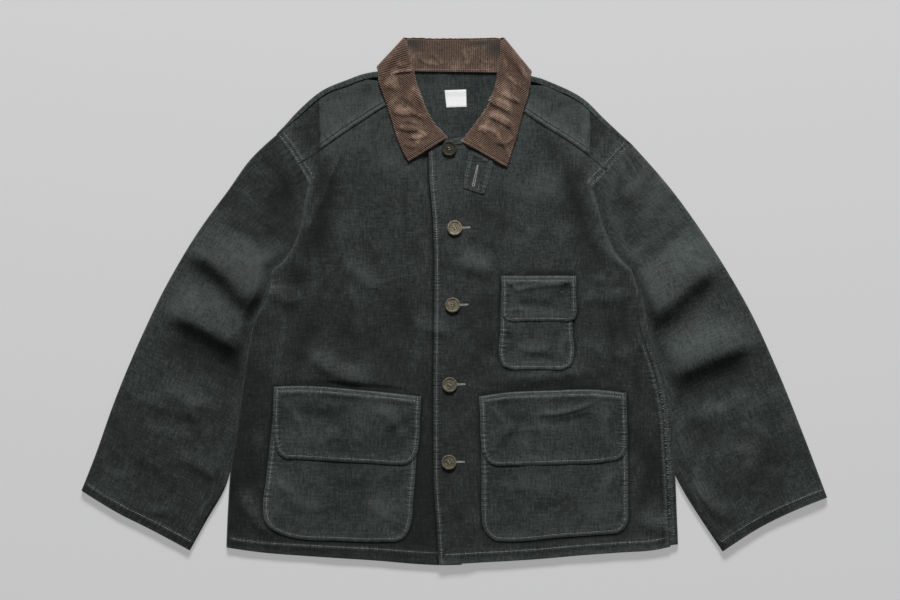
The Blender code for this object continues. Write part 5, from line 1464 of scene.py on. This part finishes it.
def sew(name, lines, read, look, pitch=3.3, thick=0.34, sink=0.02, drop=1.6):
    """Rows of stitches along lines, each lying on what is below it."""
    points, faces = [], []
    for line in lines:
        for middle in (np.arange(int(line.length / pitch)) + 0.5) * pitch:
            ends = line.along(np.array([middle - 0.4 * pitch, middle, middle + 0.4 * pitch]))
            z = [read(*p)[0] for p in ends]
            if None in z or max(z) - min(z) > drop:
                continue
            way = ends[2] - ends[0]
            half = np.linalg.norm(way) / 2
            way = way / (2 * half)
            t = BEAD_POINTS[:, 0]
            bend = z[1] + (z[2] - z[0]) / 2 * t + ((z[0] + z[2]) / 2 - z[1]) * t * t
            full = 1.0 - 0.55 * t**4
            side = BEAD_POINTS[:, 1] * thick * full
            up = bend + thick * (0.55 - 0.9 * t**4) + BEAD_POINTS[:, 2] * thick * 0.75 * full - sink
            place = ends[1] + np.outer(t * half, way) + np.outer(side, (-way[1], way[0]))
            faces.extend(tuple(v + len(points) * len(BEAD_POINTS) for v in face) for face in BEAD_FACES)
            points.append(stack(place, up))
    mesh = bpy.data.meshes.new(name)
    mesh.from_pydata(np.concatenate(points) * MM, [], faces)
    rows = add_piece(name, mesh, look)
    clear_selection()
    rows.select_set(True)
    bpy.context.view_layer.objects.active = rows
    bpy.ops.object.shade_smooth()


def crossing(line, near, far, start, end, step=3.3):
    """Short lines across a twin-stitched seam, where the cloth puckers between its two rows."""
    lines = []
    for k, place in enumerate(np.arange(start * line.length, end * line.length, step)):
        if math.sin(1.7 * k + 0.8 * math.sin(0.9 * k)) < -0.6:
            continue
        shifted = place + 0.8 * math.sin(2.3 * k)
        here, ahead = line.along(shifted), line.along(shifted + 1.0)
        way = (ahead - here) / np.linalg.norm(ahead - here)
        side = np.array([-way[1], way[0]])
        lines.append(Path([here + near * side, here + (far + 0.7 * math.sin(3.1 * k)) * side]))
    return lines


SIDE_ROWS = {"front_left": SEWING["front_left"][2:3], "back": SEWING["back"]}
for name in [key for key in SEWING if SEWING[key]]:
    rows = [line for line in SEWING[name] if line not in SIDE_ROWS.get(name, [])]
    if rows:
        sew("stitching_" + name, rows, face_reader(pieces[name]), THREAD)
for name, rows in SIDE_ROWS.items():
    sew("side_seam_stitching_" + name, rows, face_reader(pieces[name]), SEAM_THREAD)
sew("side_seam_puckers", crossing(Line(SIDE["left"]), 7.4, 13.2, 0.02, 0.7),
    face_reader(pieces["front_left"], pieces["back"]), SEAM_THREAD, pitch=4.6, thick=0.55, sink=0.15,
    drop=4.0)
sew("armhole_puckers", crossing(ARMS["left"][0], -2.6, -8.2, 0.04, 0.33), face_reader(pieces["yoke_left"]),
    SEAM_THREAD, pitch=3.4, thick=0.55, sink=0.15, drop=4.0)
for name in [key for key in TONAL if TONAL[key]]:
    sew("tonal_stitching_" + name, TONAL[name], face_reader(pieces[name]), TONAL_THREAD)
sew("neck_seam", [Path([(x, 323.6) for x in range(-54, 54, 2)])], face_reader(pieces["collar_stand"]),
    NECK_THREAD, pitch=2.6, thick=0.45)


# ---------------------------------------------------------------- buttons and buttonholes
HOLE_OUT, HOLE_RADIUS = 2.1, 1.15       # the four holes of a button, mm
DISH = 0.75                             # how deep the middle of a button is sunk, mm
TURNS = (20, 38, 8, 62, 30)             # degrees that each button is turned, from the collar down
HOLE_START, HOLE_END = 8.5, 23.0        # the part of a buttonhole that shows beside its button, mm


def model_button():
    """A four-hole button with a raised rounded rim, at the origin with its back on z = 0."""
    radius, thick = BUTTON_ACROSS / 2 * MM, BUTTON_THICK * MM
    clear_selection()
    bpy.ops.mesh.primitive_cylinder_add(vertices=24, radius=radius, depth=thick, location=(0, 0, thick / 2))
    button = bpy.context.active_object
    bpy.ops.object.mode_set(mode="EDIT")
    bpy.ops.mesh.select_mode(type="FACE")
    bpy.ops.mesh.select_all(action="DESELECT")
    bpy.ops.object.mode_set(mode="OBJECT")
    for face in button.data.polygons:
        face.select = face.normal.z > 0.9
    bpy.ops.object.mode_set(mode="EDIT")
    bpy.ops.mesh.inset(thickness=1.9 * MM)
    bpy.ops.mesh.inset(thickness=0.9 * MM)
    bpy.ops.transform.translate(value=(0, 0, -DISH * MM))
    bpy.ops.object.mode_set(mode="OBJECT")
    bpy.ops.object.transform_apply(location=True, rotation=False, scale=False)
    soften = button.modifiers.new("rim", "BEVEL")
    soften.width, soften.segments, soften.angle_limit = 0.55 * MM, 2, math.radians(40)
    bpy.ops.object.modifier_apply(modifier="rim")
    for quarter in range(4):
        angle = math.pi / 4 + quarter * math.pi / 2
        spot = (HOLE_OUT * MM * math.cos(angle), HOLE_OUT * MM * math.sin(angle), thick / 2)
        clear_selection()
        bpy.ops.mesh.primitive_cylinder_add(vertices=8, radius=HOLE_RADIUS * MM, depth=2 * thick,
                                            location=spot)
        drill = bpy.context.active_object
        clear_selection()
        button.select_set(True)
        bpy.context.view_layer.objects.active = button
        cut = button.modifiers.new("hole", "BOOLEAN")
        cut.operation, cut.object, cut.solver = "DIFFERENCE", drill, "EXACT"
        bpy.ops.object.modifier_apply(modifier="hole")
        bpy.data.objects.remove(drill, do_unlink=True)
    bpy.ops.object.shade_smooth_by_angle(angle=math.radians(35))
    return button


def beside_slit(start, end, gap):
    """The two sides of a buttonhole, which close toward its far end."""
    start, end = np.array(start, float), np.array(end, float)
    way = (end - start) / np.linalg.norm(end - start)
    side = np.array([-way[1], way[0]])
    return [Path([start + s * gap * side, end + s * 0.45 * side]) for s in (-1, 1)]


model = model_button()
on_front = face_reader(pieces["front_left"])
threads = []
for number, (bx, by) in enumerate(BUTTONS):
    name = "button_%d" % (number + 1)
    mesh = model.data.copy()
    seat, angle = highest(on_front, bx, by, 9) + 0.25, math.radians(TURNS[number])
    mesh.transform(Matrix.Translation(Vector((bx * MM, by * MM, seat * MM))) @ Matrix.Rotation(angle, 4, "Z"))
    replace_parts(add_piece("four_hole_" + name, mesh, BUTTON_LOOK[number]), name)
    across = np.array([math.cos(angle), math.sin(angle)])
    for side in (-1, 1):
        middle = np.array([bx, by]) + side * HOLE_OUT * 0.707 * np.array([-across[1], across[0]])
        threads.append((Path([middle - 1.9 * across, middle + 1.9 * across]), seat + BUTTON_THICK - DISH))
    edges = beside_slit((bx + HOLE_START, by), (bx + HOLE_END, by + 0.6), 0.95)
    # The first buttonhole is sewn in dark tonal thread as painted shadow under the collar.
    sew("buttonhole_threads_%d" % (number + 1), edges, on_front, BRIGHT_THREAD if number else TONAL_THREAD,
        pitch=1.7, thick=0.55)
bpy.data.objects.remove(model, do_unlink=True)
for number, (line, high) in enumerate(threads):
    sew("button_thread_%d" % (number + 1), [line], lambda x, y, z=high: (z, Vector((0, 0, 1))), BRIGHT_THREAD,
        pitch=line.length, thick=0.42)
on_tab = face_reader(pieces["throat_tab"])
TAB_HOLE_ENDS, EYE, EYE_RADIUS = ((27.6, 163.5), (33.6, 191)), (27.4, 161.8), 1.7
turns = np.linspace(0, 2 * math.pi, 13)
ring = np.array(EYE) + EYE_RADIUS * np.stack([np.cos(turns), np.sin(turns)], 1)
sew("tab_buttonhole", beside_slit(*TAB_HOLE_ENDS, 1.4) + [Path(ring)], on_tab, BRIGHT_THREAD, pitch=1.5,
    thick=0.62)

# ---------------------------------------------------------------- floor, light and camera
clear_selection()
bpy.ops.mesh.primitive_plane_add(size=14.0, location=(0, 0, -0.0002))
floor = bpy.context.active_object
floor.name = "floor"
ground = Finish("pale_floor", 0.9, specular=0.1)
ground.shader.inputs["Emission Strength"].default_value = 1.0
floor.data.materials.append(ground.shade(Base_Color=(0.3, 0.3, 0.3), Emission_Color=(0.315, 0.315, 0.315)))


def soft_light(name, place, size, power):
    """A rectangular light that shines on the middle of the jacket."""
    bpy.ops.object.light_add(type="AREA", location=place)
    lamp = bpy.context.active_object
    lamp.name = name
    lamp.data.shape = "RECTANGLE"
    lamp.data.size, lamp.data.size_y = size
    lamp.data.energy = power
    lamp.rotation_euler = (-Vector(place)).to_track_quat("-Z", "Y").to_euler()


soft_light("key", (0.1, 6.3, 3.25), (3.0, 1.4), 850)
soft_light("fill", (0.4, -1.6, 4.2), (2.6, 2.6), 12)
world = bpy.data.worlds.new("studio")
world.use_nodes = True
world.node_tree.nodes["Background"].inputs["Color"].default_value = (0.94, 0.96, 1.0, 1)
world.node_tree.nodes["Background"].inputs["Strength"].default_value = 0.12
bpy.context.scene.world = world
bpy.context.scene.view_settings.view_transform = "Standard"

CAMERA_HIGH, CLOTH_HIGH = 4.0, 0.006        # the camera, and the cloth that the view is fitted to, m
VIEW_WIDTH, SENSOR = 1.26, 36.0             # width that the picture shows, m, and of the sensor, mm
bpy.ops.object.camera_add(location=(-0.0056, 0.001, CAMERA_HIGH), rotation=(0, 0, 0))
camera = bpy.context.active_object
camera.data.sensor_width = SENSOR
camera.data.lens = SENSOR * (CAMERA_HIGH - CLOTH_HIGH) / VIEW_WIDTH
camera.data.clip_end = 50.0
bpy.context.scene.camera = camera
